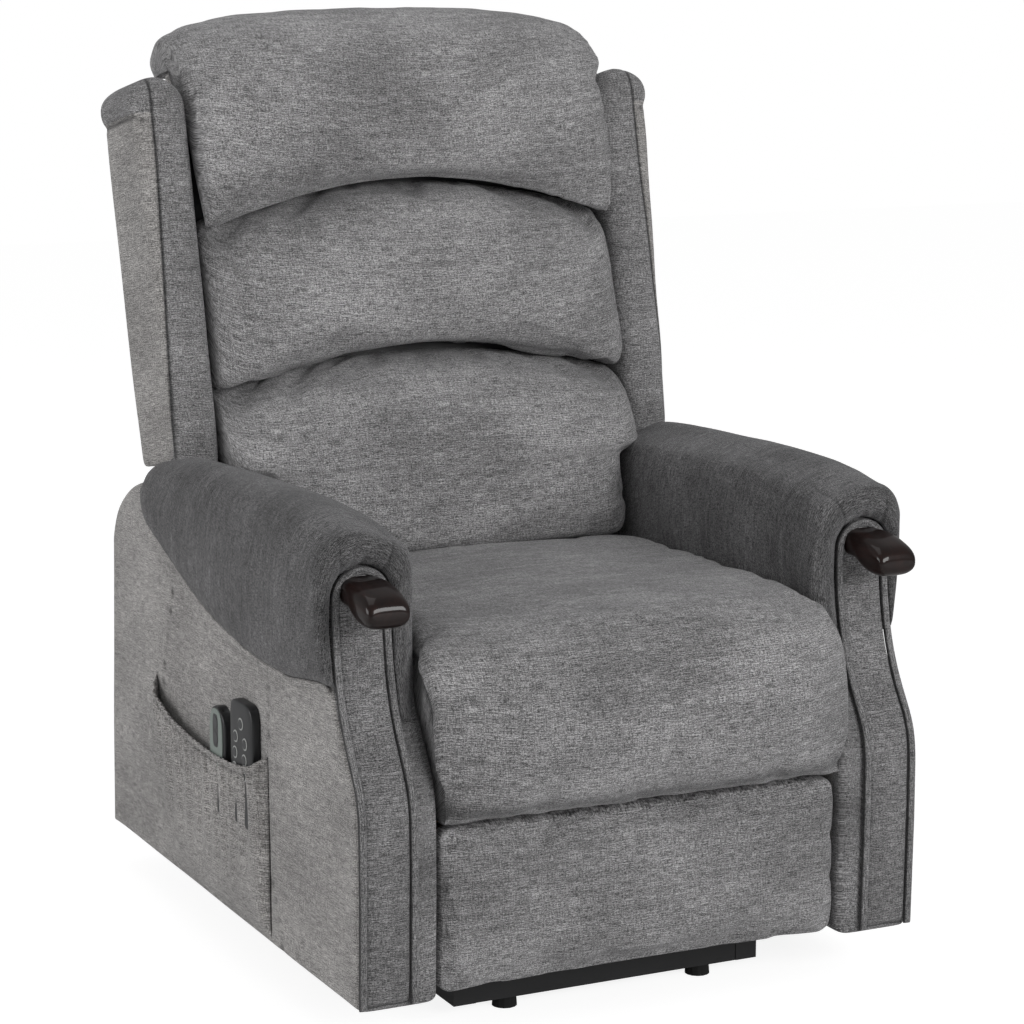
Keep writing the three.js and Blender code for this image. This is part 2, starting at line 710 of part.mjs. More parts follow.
const FRONT_THICK = 20;
const panelOutline = [
  ...ARM_FRONT.filter((p) => p[0] < ARM_TOP).map(([z, y]) => [y + FRONT_THICK + GAP, z]),
  [-331 + FRONT_THICK + GAP, ARM_TOP],
  [250, ARM_TOP], [318, ARM_TOP - 11], [362, ARM_TOP - 26], [402, ARM_TOP - 45], [432, ARM_TOP - 67],
  [450, ARM_TOP - 93], [ARM_REAR, ARM_TOP - 125], [ARM_REAR, ARM_BOTTOM],
];
addPair('side_panel', softPlate(panelOutline, ARM_INNER, ARM_HALF, 5), 'fabric');

const ARCH_R = ARM_WIDTH * 0.36;
const ARCH_Z = ARM_TOP - 0.7 - ARCH_R;
const STRIP_HALF = ARM_WIDTH * 0.345;
const stripHalf = (z) => mix(STRIP_HALF, ARCH_R, smooth(ARM_TOP - 165, ARM_TOP - 45, z));
const archHalf = (z) => Math.sqrt(Math.max(0, ARCH_R ** 2 - (z - ARCH_Z) ** 2));
const frontHalf = (z) => (z < ARCH_Z ? stripHalf(z) : archHalf(z));
const FRONT_MID = (z) => ARM_HALF - stripHalf(z);
const frontRings = [
  ARM_BOTTOM + 2, ...ARM_FRONT.map((p) => p[0]).filter((z) => z > ARM_BOTTOM + 5 && z < ARCH_Z - 5),
  ARCH_Z, ...[0.34, 0.62, 0.81, 0.93, 0.985].map((t) => ARCH_Z + t * ARCH_R),
].map((z) => {
  const y = armFace(z);
  const mid = FRONT_MID(z);
  const half = frontHalf(z) + 0.001;
  const soft = Math.min(6, half * 0.5);
  return [
    [mid - half, y + FRONT_THICK], [mid + half, y + FRONT_THICK], [mid + half, y + soft],
    [mid + half - soft * 0.4, y + soft * 0.35], [mid + half - soft * 1.3, y],
    [mid - half + soft * 1.3, y], [mid - half + soft * 0.4, y + soft * 0.35], [mid - half, y + soft],
  ].map(([x, yy]) => [x, yy, z]);
});
addPair('arm_front', loft(frontRings, 'z'), 'fabric');

const KNOB_X = FRONT_MID(ARCH_Z);
// how far out of the arm's front, height over the middle of the arch, half width, half height
const KNOB = [
  [GAP, 8, 25, 16.5], [14, 8, 26, 16.5], [26, 6.5, 27, 18], [39, 3, 28, 20.5],
  [52, -0.5, 28, 21], [65, -3, 27.5, 19], [73, -4, 25.5, 15], [78, -4.5, 22, 9.5], [80, -4.5, 17, 4.5],
];
const knobRings = KNOB.map(([out, z, hx, hz]) => (
  superRing(hx, hz, 3.4, 20).map((p) => [KNOB_X + p[0], armFace(ARCH_Z) - out, ARCH_Z + z + p[1]])
));
const knob = loft(knobRings, 'y');
addPair('hand_knob', knob, 'mahogany');

// y, crest over the side panel, lower edge of the outer drape under its top, how far the ends are drawn in
const PAD = [
  [-352, PAD_HIGH - 33, 75, 10], [-348, PAD_HIGH - 21, 120, 5], [-335, PAD_HIGH - 12, 134, 2],
  [-300, PAD_HIGH - 6, 140, 0], [-250, PAD_HIGH - 2, 149, 0], [-190, PAD_HIGH, 157, 0], [-100, PAD_HIGH, 161, 0],
  [-20, PAD_HIGH - 1, 155, 0], [60, PAD_HIGH - 3, 148, 0], [120, PAD_HIGH - 6, 141, 0], [170, PAD_HIGH - 10, 127, 0],
  [215, PAD_HIGH - 14, 105, 0], [245, PAD_HIGH - 18, 77, 2], [262, PAD_HIGH - 23, 50, 4], [271, PAD_HIGH - 29, 25, 9],
];
const padRings = PAD.map(([y, over, under, inset]) => {
  const top = ARM_TOP + over;
  const low = ARM_TOP - under;
  const base = ARM_TOP + GAP;
  const out = PAD_OUT - inset;
  const wall = ARM_HALF + GAP;
  const high = top - base;
  const bend = top - 26;
  return [
    [ARM_INNER + 1 + inset / 2, base], [ARM_INNER + 2 + inset / 2, base + high * 0.45],
    [ARM_INNER + ARM_WIDTH * 0.14, base + high * 0.86], [ARM_INNER + ARM_WIDTH * 0.37, top - 1.5],
    [ARM_INNER + ARM_WIDTH * 0.62, top], [ARM_INNER + ARM_WIDTH * 0.87, top - 2],
    [mix(ARM_HALF, out, 0.25), top - 10], [out - 4, bend], [out, mix(bend, low, 0.35)],
    [out - 1, mix(bend, low, 0.6)], [out - 5, mix(bend, low, 0.82)], [wall + 10 - inset / 2, low + 5],
    [wall + 3, low], [wall, low + 1], [wall, mix(base, low, 0.5)], [wall, base],
  ].map(([x, z]) => [x, y, z]);
});
addPair('arm_pad', loft(padRings, 'y'), 'fabric');

// ---- back: steel frame board, upholstered shell, wings and three pillows

const SHELL_D = 36;
const BOARD_D = 18;
const BOARD_D1 = -SHELL_D - GAP;
const BOARD_D0 = BOARD_D1 - BOARD_D;
const upBack = (z, d = 0) => (z - BACK_Z + d * Math.sin(LEAN)) / Math.cos(LEAN);
const WING_Z = [[ARM_TOP + 30, ARM_HALF - 10], [HEAD_TOP - 140, ARM_HALF + 7]];
const PILLOW_HALF = ARM_HALF - 72;
const wingOut = (w) => mix(WING_Z[0][1], WING_Z[1][1], (w * Math.cos(LEAN) + BACK_Z - WING_Z[0][0]) / (WING_Z[1][0] - WING_Z[0][0]));
const WING_IN = PILLOW_HALF + 1;          // inner face of a wing from the middle
const WING_LOW = upBack(ARM_TOP + 22);
const SHELL_LOW = upBack(338);
const SHELL_DROP = 81;        // top of the shell under the top of the head pillow
const SHELL_TOP = upBack(HEAD_TOP - SHELL_DROP);
const BETWEEN_ARMS = ARM_INNER - 1.5;
const SHELL_EDGE = WING_IN - 0.6;
const shellHalf = [
  [BETWEEN_ARMS, SHELL_LOW], [BETWEEN_ARMS, WING_LOW], [SHELL_EDGE, WING_LOW],
  [SHELL_EDGE, SHELL_TOP - 60], [SHELL_EDGE - 14, SHELL_TOP - 12], [PILLOW_HALF - 32, SHELL_TOP],
];
const symmetric = (half) => [...half, ...[...half].reverse().map(([x, w]) => [-x, w])];
add('back_shell', backSlab(symmetric(shellHalf), -SHELL_D, 0), 'fabric');

const frameHalf = [
  [BETWEEN_ARMS - 6, SHELL_LOW], [BETWEEN_ARMS - 6, WING_LOW + 10],
  [PILLOW_HALF - 12, WING_LOW + 40], [PILLOW_HALF - 6, SHELL_TOP - 50], [PILLOW_HALF - 42, SHELL_TOP - 12],
];
const boardFoot = [onBack(0, BOARD_D1 - 3, SHELL_LOW + 60), onBack(0, BOARD_D1 - 3, SHELL_LOW + 10)];
const ear = plate(
  roundedHull([BACK_PIVOT, ...boardFoot.map((p) => [p[1], p[2]])], 13),
  X_LOW, X_LOW + PLATE,
);
const earCut = cut(
  fuse(ear),
  pin(BACK_PIVOT, X_LOW - 5, X_SIDE, HOLE, 16),
  backSlab([[X_LOW - 5, SHELL_LOW], [X_SIDE, SHELL_LOW], [X_SIDE, SHELL_LOW + 120], [X_LOW - 5, SHELL_LOW + 120]],
    BOARD_D1, 60),
);
const axleAt = [BACK_PIVOT[0] - 6, BACK_PIVOT[1] + 26];
const backCrank = plate(roundedHull([axleAt, BACK_PIVOT, backPin], 12), LANE - 4, LANE + 4);
const backFrame = fuse(
  backSlab(symmetric(frameHalf), BOARD_D0, BOARD_D1),
  earCut,
  mirrored(earCut),
  pin(axleAt, -X_LOW - 2, X_LOW + 2, 9, 14),
  backCrank,
  pin(backPin, LANE - 10, LANE + 10, 5),
);
add('back_frame', backFrame, 'steel');

const WING_TAPER = 12;        // how much nearer the middle a wing's outer face is at its front than at its rear
const WING_DROOP = 6;         // how much lower a wing's lower edge is at its front
// up the back, bulge of the outer side, how far the inner side and the front are drawn in
const wingRings = [
  [WING_LOW, -5, 0, -6], [WING_LOW + 6, 0, 0, 0], [WING_LOW + 120, 0, 0, 0], [WING_LOW + 240, 0, 0, 0],
  [WING_LOW + 360, 0, 0, 0], [upBack(HEAD_TOP - 146), 0, 0, 0], [upBack(HEAD_TOP - 139), 3, 0, 1],
  [upBack(HEAD_TOP - 131), 6, 0, 2], [upBack(HEAD_TOP - 123), 7, 1, 2], [upBack(HEAD_TOP - 115), 5, 4, 1],
  [upBack(HEAD_TOP - 108), 0, 9, -2], [upBack(HEAD_TOP - 101), -9, 16, -6], [upBack(HEAD_TOP - 95), -21, 27, -14],
].map(([w, bulge, drawn, deep]) => {
  const outer = wingOut(Math.min(w, upBack(HEAD_TOP - 140))) + bulge;
  const inner = WING_IN + drawn;
  const front = -mix(94, 102, (w - WING_LOW) / 420) - deep;
  const rear = Math.min(0, deep);
  const half = [(outer - inner) / 2, (rear - front) / 2];
  const droop = WING_DROOP * (1 - smooth(WING_LOW, WING_LOW + 120, w));
  return superRing(half[0], half[1], 4.5, 20).map(([x, d]) => {
    const ahead = (1 - d / half[1]) / 2;
    const taper = WING_TAPER * Math.max(0, x / half[0]) * ahead;
    return onBack((inner + outer) / 2 + x - taper, (front + rear) / 2 + d, w - droop * ahead);
  });
});
addPair('wing', loft(wingRings, 'z'), 'fabric');

// a pillow: half width, lower and upper edges and front face at the middle and at the sides
function pillow(half, low, high, front, crown) {
  return cushionAcross(half, ACROSS, (x, s) => {
    const arch = s * s;
    const w0 = upBack(mix(low[0], low[1], arch));
    const w1 = upBack(mix(high[0], high[1], arch));
    const face = mix(front[0], front[1], arch) * mix(0.8, 1, 1 - smooth(0.9, 1, s));
    const rear = BOARD_D0 - GAP;
    const inset = 6 * smooth(0.94, 1, s);
    const tall = (w1 - w0) / 2 - inset;
    return superRing(1, 1, 3.2, 24).map(([a, b]) => {
      const deep = a < 0 ? mix(rear, face, -a) : rear;
      const belly = deep - (a < 0 ? crown * (1 - b * b) * (1 - arch) : 0);
      const p = onBack(x, belly, (w0 + w1) / 2 + tall * b);
      return [p[1], p[2]];
    });
  });
}

const REST_LINE = [[-148, -148], [-160, -152]];
const LUMBAR_LOW = [SEAT_TOP - 28, SEAT_TOP - 22];
const LUMBAR_HIGH = [HEAD_TOP - 449, HEAD_TOP - 489];
const MIDDLE_LOW = [HEAD_TOP - 445, HEAD_TOP - 484];
const MIDDLE_HIGH = [HEAD_TOP - 232, HEAD_TOP - 283];
add('lumbar_pillow', pillow(BETWEEN_ARMS - 1, LUMBAR_LOW, LUMBAR_HIGH, REST_LINE[0], 8), 'fabric');
add('middle_pillow', pillow(PILLOW_HALF, MIDDLE_LOW, MIDDLE_HIGH, REST_LINE[1], 8), 'fabric');

// the head pillow wraps over the top of the back and hangs a little way down behind it;
// its outlines in the side view give y and the drop under the top, at the middle and at the sides
const HEAD_REAR = BOARD_D0 - GAP;
const onBoard = (drop, d) => [onBack(0, d, upBack(HEAD_TOP - drop))[1], drop];
const overShell = (d, out) => [onBack(0, d, SHELL_TOP)[1] + out, SHELL_DROP - 3];
const HEAD_Y = onBack(0, 0, upBack(HEAD_TOP))[1];
const ahead = (rows) => rows.map(([y, drop]) => [HEAD_Y + y, drop]);
const HEAD_MIDDLE = [
  onBoard(201, HEAD_REAR),
  ...ahead([
    [-180, 203], [-200, 185], [-203, 140], [-188, 85], [-154, 33], [-112, 6],
    [-72, 0], [-27, 8], [10, 32], [34, 63], [36, 79],
  ]),
  [onBack(0, 8, SHELL_TOP)[1] + 6, 73], overShell(2, 0),
  [onBack(0, HEAD_REAR, SHELL_TOP)[1], SHELL_DROP - 12], onBoard(135, HEAD_REAR),
];
const HEAD_SIDE = [
  onBoard(253, HEAD_REAR),
  ...ahead([
    [-154, 257], [-168, 243], [-167, 185], [-157, 122], [-135, 70], [-100, 36],
    [-62, 21], [-27, 27], [3, 45], [22, 67], [24, 79],
  ]),
  [onBack(0, 8, SHELL_TOP)[1] + 6, 75], overShell(2, 0),
  [onBack(0, HEAD_REAR, SHELL_TOP)[1], SHELL_DROP - 10], onBoard(165, HEAD_REAR),
];
const HEAD_HALF = PILLOW_HALF - 3;
const headHalf = (drop) => mix(HEAD_HALF, HEAD_HALF + 12, smooth(80, 60, drop));
const headRings = ACROSS.map((at) => {
  const s = Math.abs(at);
  const t = s ** 3.2;
  const outline = HEAD_MIDDLE.map((p, i) => [mix(p[0], HEAD_SIDE[i][0], t), mix(p[1], HEAD_SIDE[i][1], t)]);
  const inset = 7 * smooth(0.94, 1, s);
  return closedSpline(outline, 34).map(([y, drop]) => {
    const tall = 125 - drop;
    const deep = y - HEAD_Y + 92;
    const far = Math.hypot(tall, deep);
    return [at * headHalf(drop), y - (deep / far) * inset, HEAD_TOP - drop - (tall / far) * inset];
  });
});
const head = loft(headRings, 'x');
const keepClear = backSlab(
  symmetric([[SHELL_EDGE + 4, SHELL_LOW], [SHELL_EDGE + 4, SHELL_TOP + GAP]]),
  BOARD_D0 - GAP, 4,
);
add('head_pillow', cut(head, keepClear), 'fabric');

// ---- side pocket with an open mouth, and the two handsets standing in it

const SIDE_X = ARM_HALF + GAP;
const POCKET = [
  // y, bottom z, mouth z
  [-143, 70, 352], [-138, 68, 300], [-131, 67, 276], [-118, 66, 266], [-95, 66, 261], [-60, 66, 257], [-9, 66, 253],
  [40, 68, 252.5], [80, 72, 252], [113, 82, 252], [150, 104, 256], [185, 140, 264], [212, 182, 273], [232, 224, 284],
  [246, 262, 300],
];
const POCKET_DEEP = 20.5;
const CLOTH = 2.6;
const rows = 10;
function pocketGrid(skin) {
  return POCKET.map(([y, low, high], i) => {
    const edge = Math.min(1, Math.min((y + 143) / 20, (246 - y) / 60));
    const across = 1 - (1 - Math.max(0, edge)) ** 3;
    const line = [];
    for (let k = 0; k <= rows; k += 1) {
      const v = k / rows;
      const z = mix(low, high, v);
      const up = 1 - (1 - Math.min(1, (v * (high - low)) / 45)) ** 3;
      const deep = (POCKET_DEEP - CLOTH) * across * up;
      const off = skin ? CLOTH + deep : deep;
      line.push([-(SIDE_X + off), y + (i === 0 ? 0 : 0), z]);
    }
    return line;
  });
}
function thickSheet(outer, inner) {
  const cols = outer.length;
  const n = outer[0].length;
  const position = [...outer.flat(2), ...inner.flat(2)];
  const at = (side, i, k) => side * cols * n + i * n + k;
  const index = [];
  for (let i = 0; i + 1 < cols; i += 1) {
    for (let k = 0; k + 1 < n; k += 1) {
      index.push(at(0, i, k), at(0, i + 1, k), at(0, i, k + 1), at(0, i + 1, k), at(0, i + 1, k + 1), at(0, i, k + 1));
      index.push(at(1, i, k), at(1, i, k + 1), at(1, i + 1, k), at(1, i + 1, k), at(1, i, k + 1), at(1, i + 1, k + 1));
    }
  }
  const rim = [];
  for (let i = 0; i < cols; i += 1) rim.push([i, 0]);
  for (let k = 1; k < n; k += 1) rim.push([cols - 1, k]);
  for (let i = cols - 2; i >= 0; i -= 1) rim.push([i, n - 1]);
  for (let k = n - 2; k > 0; k -= 1) rim.push([0, k]);
  rim.forEach(([i, k], r) => {
    const [i2, k2] = rim[(r + 1) % rim.length];
    index.push(at(0, i, k), at(1, i, k), at(0, i2, k2), at(0, i2, k2), at(1, i, k), at(1, i2, k2));
  });
  const g = new THREE.BufferGeometry();
  g.setAttribute('position', new THREE.BufferAttribute(new Float32Array(position), 3));
  g.setIndex(index);
  return consistent(g);
}
add('side_pocket', thickSheet(pocketGrid(true), pocketGrid(false)), 'fabric');

const HANDSET_BACK = -SIDE_X;
const HANDSET_T = 14.5;
const BUTTON_T = 3;

function handsetBody(y, width, z0, z1, turn, taper) {
  const high = z1 - z0;
  const r = 9;
  const shape = new THREE.Shape();
  const lower = width / 2 - taper;
  shape.moveTo(-lower + r, 0);
  shape.lineTo(lower - r, 0);
  shape.quadraticCurveTo(lower, 0, lower, r);
  shape.lineTo(width / 2, high - r);
  shape.quadraticCurveTo(width / 2, high, width / 2 - r, high);
  shape.lineTo(-width / 2 + r, high);
  shape.quadraticCurveTo(-width / 2, high, -width / 2, high - r);
  shape.lineTo(-lower, r);
  shape.quadraticCurveTo(-lower, 0, -lower + r, 0);
  const settings = {
    depth: HANDSET_T - 4, bevelThickness: 2, bevelSize: 2, bevelOffset: -2, bevelSegments: 2, curveSegments: 4,
  };
  const g = new THREE.ExtrudeGeometry(shape, settings);
  g.applyMatrix4(SIDE_VIEW);
  g.rotateX(turn);
  return g.translate(HANDSET_BACK - HANDSET_T + 2, y, z0);
}

function buttonAt(y, z, r, sides) {
  const g = new THREE.CylinderGeometry(r, r, BUTTON_T, sides);
  g.rotateZ(Math.PI / 2);
  return g.translate(HANDSET_BACK - HANDSET_T + BUTTON_T / 2 - 1.2, y, z);
}

function wellAt(y, z, r, sides) {
  const g = new THREE.CylinderGeometry(r + GAP, r + GAP, 8, sides);
  g.rotateZ(Math.PI / 2);
  return g.translate(HANDSET_BACK - HANDSET_T + 3 - 4 + 1, y, z);
}

const LIFT_SET = { y: -2, width: 50, low: 186, high: 318, turn: 0.02 };
const liftButtons = [['up', 298], ['down', 279]];
const liftBody = cut(
  handsetBody(LIFT_SET.y, LIFT_SET.width, LIFT_SET.low, LIFT_SET.high, LIFT_SET.turn, 3),
  ...liftButtons.map(([, z]) => wellAt(LIFT_SET.y - 2, z, 7.5, 14)),
);
add('lift_handset', liftBody, 'plastic');
for (const [name, z] of liftButtons) add(`lift_button_${name}`, buttonAt(LIFT_SET.y - 2, z, 7.5, 14), 'keys');

const MASSAGE_SET = { y: -73, width: 62, low: 192, high: 340, turn: 0.12 };
const massageButtons = [
  ['power', 0, 124], ['mode', -15, 104], ['speed', 15, 104], ['zone_a', -15, 84], ['zone_b', 15, 84],
  ['heat', -15, 64.5], ['timer', 15, 64.5],
].map(([name, across, up]) => {
  const c = Math.cos(MASSAGE_SET.turn);
  const s = Math.sin(MASSAGE_SET.turn);
  return [name, MASSAGE_SET.y + across * c - up * s, MASSAGE_SET.low + across * s + up * c];
});
const massageBody = cut(
  handsetBody(MASSAGE_SET.y, MASSAGE_SET.width, MASSAGE_SET.low, MASSAGE_SET.high, MASSAGE_SET.turn, 4),
  ...massageButtons.map(([, y, z]) => wellAt(y, z, 5.6, 12)),
);
add('massage_handset', massageBody, 'plastic');
for (const [name, y, z] of massageButtons) add(`massage_button_${name}`, buttonAt(y, z, 5.6, 12), 'keys');

// ---------------------------------------------------------------- place on the origin

const whole = new THREE.Box3();
for (const mesh of pieces) {
  mesh.geometry.computeBoundingBox();
  whole.union(mesh.geometry.boundingBox);
}
const shift = (whole.min.y + whole.max.y) / 2;
for (const mesh of pieces) {
  mesh.geometry.translate(0, -shift, -whole.min.z);
  mesh.geometry.computeVertexNormals();
  chair.add(mesh);
}

export default chair;
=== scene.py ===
"""A lift recliner chair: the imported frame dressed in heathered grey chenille.

Metres, +Z up, the sitter faces -Y. `side` is +1 on the sitter's left and -1 on the right, where the pocket
is. Soft pieces are grids of points; their map is in metres, with u along the slubs of the yarn.
"""

import math

import bpy
import numpy as np
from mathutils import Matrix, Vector


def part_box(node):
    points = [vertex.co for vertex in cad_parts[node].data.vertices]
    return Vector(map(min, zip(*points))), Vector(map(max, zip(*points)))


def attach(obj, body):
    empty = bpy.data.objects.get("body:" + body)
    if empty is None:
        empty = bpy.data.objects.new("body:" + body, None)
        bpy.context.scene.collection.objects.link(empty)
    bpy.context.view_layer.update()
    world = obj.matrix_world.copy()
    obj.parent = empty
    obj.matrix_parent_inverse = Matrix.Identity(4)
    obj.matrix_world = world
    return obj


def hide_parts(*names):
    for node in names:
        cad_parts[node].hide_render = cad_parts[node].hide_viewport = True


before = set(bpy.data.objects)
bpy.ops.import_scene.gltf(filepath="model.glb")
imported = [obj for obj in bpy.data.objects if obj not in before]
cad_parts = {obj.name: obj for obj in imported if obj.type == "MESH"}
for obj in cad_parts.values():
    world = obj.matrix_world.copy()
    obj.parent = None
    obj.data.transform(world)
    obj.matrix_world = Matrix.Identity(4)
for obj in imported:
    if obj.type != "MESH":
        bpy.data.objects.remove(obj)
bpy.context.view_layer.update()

MM = 0.001
PI = math.pi

# ------------------------------------------------------------------ sizes taken from the frame


def node_box(name):
    """The lowest and highest corner of a node, as arrays."""
    low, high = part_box(name)
    return np.array(low, float), np.array(high, float)


SEAT_HIGH = node_box("seat_cushion")[1]
PANEL_LOW, PANEL_HIGH = node_box("side_panel_left")
PAD_HIGH = node_box("arm_pad_left")[1]
FRONT_LOW, FRONT_HIGH = node_box("arm_front_left")
HEAD_HIGH = node_box("head_pillow")[1]
MIDDLE_HIGH = node_box("middle_pillow")[1]
LUMBAR_HIGH = node_box("lumbar_pillow")[1]
SHELL_LOW, SHELL_HIGH = node_box("back_shell")
FOOT_LOW, FOOT_HIGH = node_box("footrest_pad")
POCKET_LOW, POCKET_HIGH = node_box("side_pocket")

ARM_IN, ARM_OUT, ARM_TOP = PANEL_LOW[0], PANEL_HIGH[0], PANEL_HIGH[2]
LEAN = math.radians(12.1)  # rearward lean of the back
BACK_Y, BACK_Z = 0.284, ARM_TOP  # where its rear plane passes the arm tops
ARCH_R = (FRONT_HIGH[0] - FRONT_LOW[0]) / 2  # arch over the hand knob
ARCH_Z = FRONT_HIGH[2] - ARCH_R
ARCH_X = (FRONT_HIGH[0] + FRONT_LOW[0]) / 2
WELT = 10 * MM  # width of the sewn double welt
THREAD = 2.4 * MM  # pitch of the weave

# the front edge of an arm in the side view: height, depth
S_LINE = np.array([
    [0.058, -0.403], [0.190, -0.406], [0.272, -0.4055], [0.298, -0.4015], [0.314, -0.3945], [0.330, -0.384],
    [0.346, -0.3735], [0.364, -0.3635], [0.386, -0.3535], [0.410, -0.346], [0.436, -0.340], [0.462, -0.3365],
    [0.480, -0.335], [0.560, -0.335],
])


def soft_table(table, value, blur=0.0):
    """The table's second column at `value`, averaged over a window `blur` wide either way."""
    shifts = np.linspace(-blur, blur, 9)
    return np.mean([np.interp(value + d, table[:, 0], table[:, 1]) for d in shifts], axis=0)


def arm_face(z):
    """Depth of the arm's front at height z: the S line with its corners eased."""
    return soft_table(S_LINE, np.asarray(z, float), 0.014)


def on_back(x, d, w):
    """Points x across, d behind the leaning rear plane of the back and w up along it."""
    x, d, w = np.broadcast_arrays(x, d, w)
    y = BACK_Y + w * math.sin(LEAN) + d * math.cos(LEAN)
    z = BACK_Z + w * math.cos(LEAN) - d * math.sin(LEAN)
    return np.stack([x, y, z], -1)


def up_back(z):
    """How far up the leaning rear plane the height z is."""
    return (z - BACK_Z) / math.cos(LEAN)


# ------------------------------------------------------------------ grids


def mix(a, b, t):
    """The value a share t of the way from a to b."""
    return a + (b - a) * t


def smooth(a, b, v):
    """0 before a, 1 past b and an eased step between them."""
    t = np.clip((v - a) / (b - a), 0, 1)
    return t * t * (3 - 2 * t)


def line_at(distance, width):
    """A soft line: 1 where the distance is 0, fading like a bell of the given width."""
    return np.exp(-((distance / width) ** 2))


def superellipse(count, power):
    """Unit points round a superellipse: the sine and cosine with their sizes raised to 2 / power."""
    turn = np.arange(count) / count * 2 * PI
    c, s = np.cos(turn), np.sin(turn)
    return np.sign(c) * np.abs(c) ** (2 / power), np.sign(s) * np.abs(s) ** (2 / power)


def spread(count, ease=0.75):
    """Numbers from -1 to 1, closer together near both ends: a straight line mixed with a quarter sine."""
    t = np.linspace(-1, 1, count)
    return mix(t, np.sin(t * PI / 2), ease)


def rounded(s, power):
    """Height of a unit superellipse at s: 1 in the middle, 0 at -1 and 1."""
    return np.clip(1 - np.abs(s) ** power, 0, 1) ** (1 / power)


def catmull(points, count):
    """A curve through the points, which leaves each along the chord of its neighbours, at even lengths."""
    p = np.asarray(points, float)
    p = np.vstack([2 * p[0] - p[1], p, 2 * p[-1] - p[-2]])
    t = np.linspace(0, 1, 24, endpoint=False)[:, None]
    parts = []
    for k in range(1, len(p) - 2):
        a, b, c, d = p[k - 1], p[k], p[k + 1], p[k + 2]
        square, cube = 2 * a - 5 * b + 4 * c - d, 3 * b - a - 3 * c + d
        parts.append(0.5 * (2 * b + (c - a) * t + square * t**2 + cube * t**3))
    return even(np.vstack([*parts, p[-2:-1]]), count)


def even(line, count):
    """The same line with `count` points at equal lengths along it."""
    run = np.concatenate([[0], np.cumsum(np.linalg.norm(np.diff(line, axis=0), axis=1))])
    at = np.linspace(0, run[-1], count)
    return np.stack([np.interp(at, run, line[:, k]) for k in range(line.shape[1])], -1)


def quads(rows, cols, around=False):
    """Corner numbers of the quads between neighbouring points of a grid, counted row by row."""
    r = np.arange(rows - 1)[:, None]
    c = np.arange(cols if around else cols - 1)[None, :]
    n = (c + 1) % cols
    corners = (r * cols + c, r * cols + n, (r + 1) * cols + n, (r + 1) * cols + c)
    return np.stack(np.broadcast_arrays(*corners), -1).reshape(-1, 4)


def grid_normals(grid):
    """Unit normals of a grid: the cross product of its two slopes."""
    n = np.cross(np.gradient(grid, axis=1), np.gradient(grid, axis=0))
    return n / np.maximum(np.linalg.norm(n, axis=-1, keepdims=True), 1e-12)


def run_length(grid, axis):
    """Length travelled along an axis of the grid, as a map coordinate."""
    step = np.linalg.norm(np.diff(grid, axis=axis), axis=-1)
    lead = np.zeros_like(np.take(step, [0], axis=axis))
    return np.concatenate([lead, np.cumsum(step, axis=axis)], axis=axis)


def volume_of(points, faces):
    """Six times the signed volume inside quads, each cut into two triangles."""
    a, b, c, d = (points[faces[:, k]] for k in range(4))
    return np.sum(a * np.cross(b, c)) + np.sum(a * np.cross(c, d))


def closed_pair(front, back):
    """A closed skin from two grids of one size that meet along the border of the front one."""
    rows, cols = front.shape[:2]
    edge = np.ones((rows, cols), bool)
    edge[1:-1, 1:-1] = False
    back_number = np.arange(rows * cols).reshape(rows, cols)
    back_number[~edge] = rows * cols + np.arange((~edge).sum())
    points = np.vstack([front.reshape(-1, 3), back[~edge]])
    face = quads(rows, cols)
    faces = np.vstack([face, back_number.reshape(-1)[face][:, ::-1]])
    if volume_of(points, faces) < 0:
        faces = faces[:, ::-1]
    return points, faces, edge


def pair_values(front, back, edge):
    """Values of the two grids in the order of closed_pair's points."""
    return np.concatenate([front.reshape(-1, *front.shape[2:]), back[~edge]])


def crease(points, a, b, width):
    """How deep each point lies in a sewn crease from a to b, seen from the front: 1 on its line and fading
    towards b, with a low ridge beside it."""
    p = points[..., [0, 2]]
    a, b = np.asarray(a, float), np.asarray(b, float)
    way = b - a
    t = np.clip(((p - a) @ way) / (way @ way), 0, 1)
    far = np.linalg.norm(p - (a + t[..., None] * way), axis=-1) / width
    return (np.exp(-far**2) - 0.4 * np.exp(-((far - 2.2) ** 2))) * (1 - t)


def swell(u, v, seed, reach=0.09):
    """Gentle unevenness between -1 and 1: five sine waves that cross the map at fixed odd angles."""
    rng = np.random.default_rng(seed)
    total = 0
    for _ in range(5):
        angle, phase = rng.uniform(0, 2 * PI, 2)
        scale = rng.uniform(0.7, 1.6)
        total = total + np.sin((u * math.cos(angle) + v * math.sin(angle)) * 2 * PI / (reach * scale) + phase)
    return total / 5


# ------------------------------------------------------------------ meshes


def piece(name, points, faces, uv, material, seam, body):
    """A mesh object on a body, from points, quads, a map per point and how deep in a seam each point lies,
    which its material paints as shade.
    """
    mesh = bpy.data.meshes.new(name)
    mesh.from_pydata(points.tolist(), [], face_lists(faces))
    corner = np.empty(len(mesh.loops), np.int32)
    mesh.loops.foreach_get("vertex_index", corner)
    layer = mesh.uv_layers.new(name="cloth")
    layer.data.foreach_set("uv", uv[corner].astype(np.float32).ravel())
    # the seam attribute: how deep in a seam each point lies, painted as shade by the chenille
    depth = mesh.attributes.new("seam", "FLOAT", "POINT")
    depth.data.foreach_set("value", (np.zeros(len(points)) if seam is None else seam).astype(np.float32))
    mesh.polygons.foreach_set("use_smooth", np.ones(len(mesh.polygons), bool))
    mesh.materials.append(material)
    mesh.update()
    obj = bpy.data.objects.new(name, mesh)
    bpy.context.scene.collection.objects.link(obj)
    fine = obj.modifiers.new("fine", "SUBSURF")
    fine.levels = fine.render_levels = 1
    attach(obj, body)
    return obj


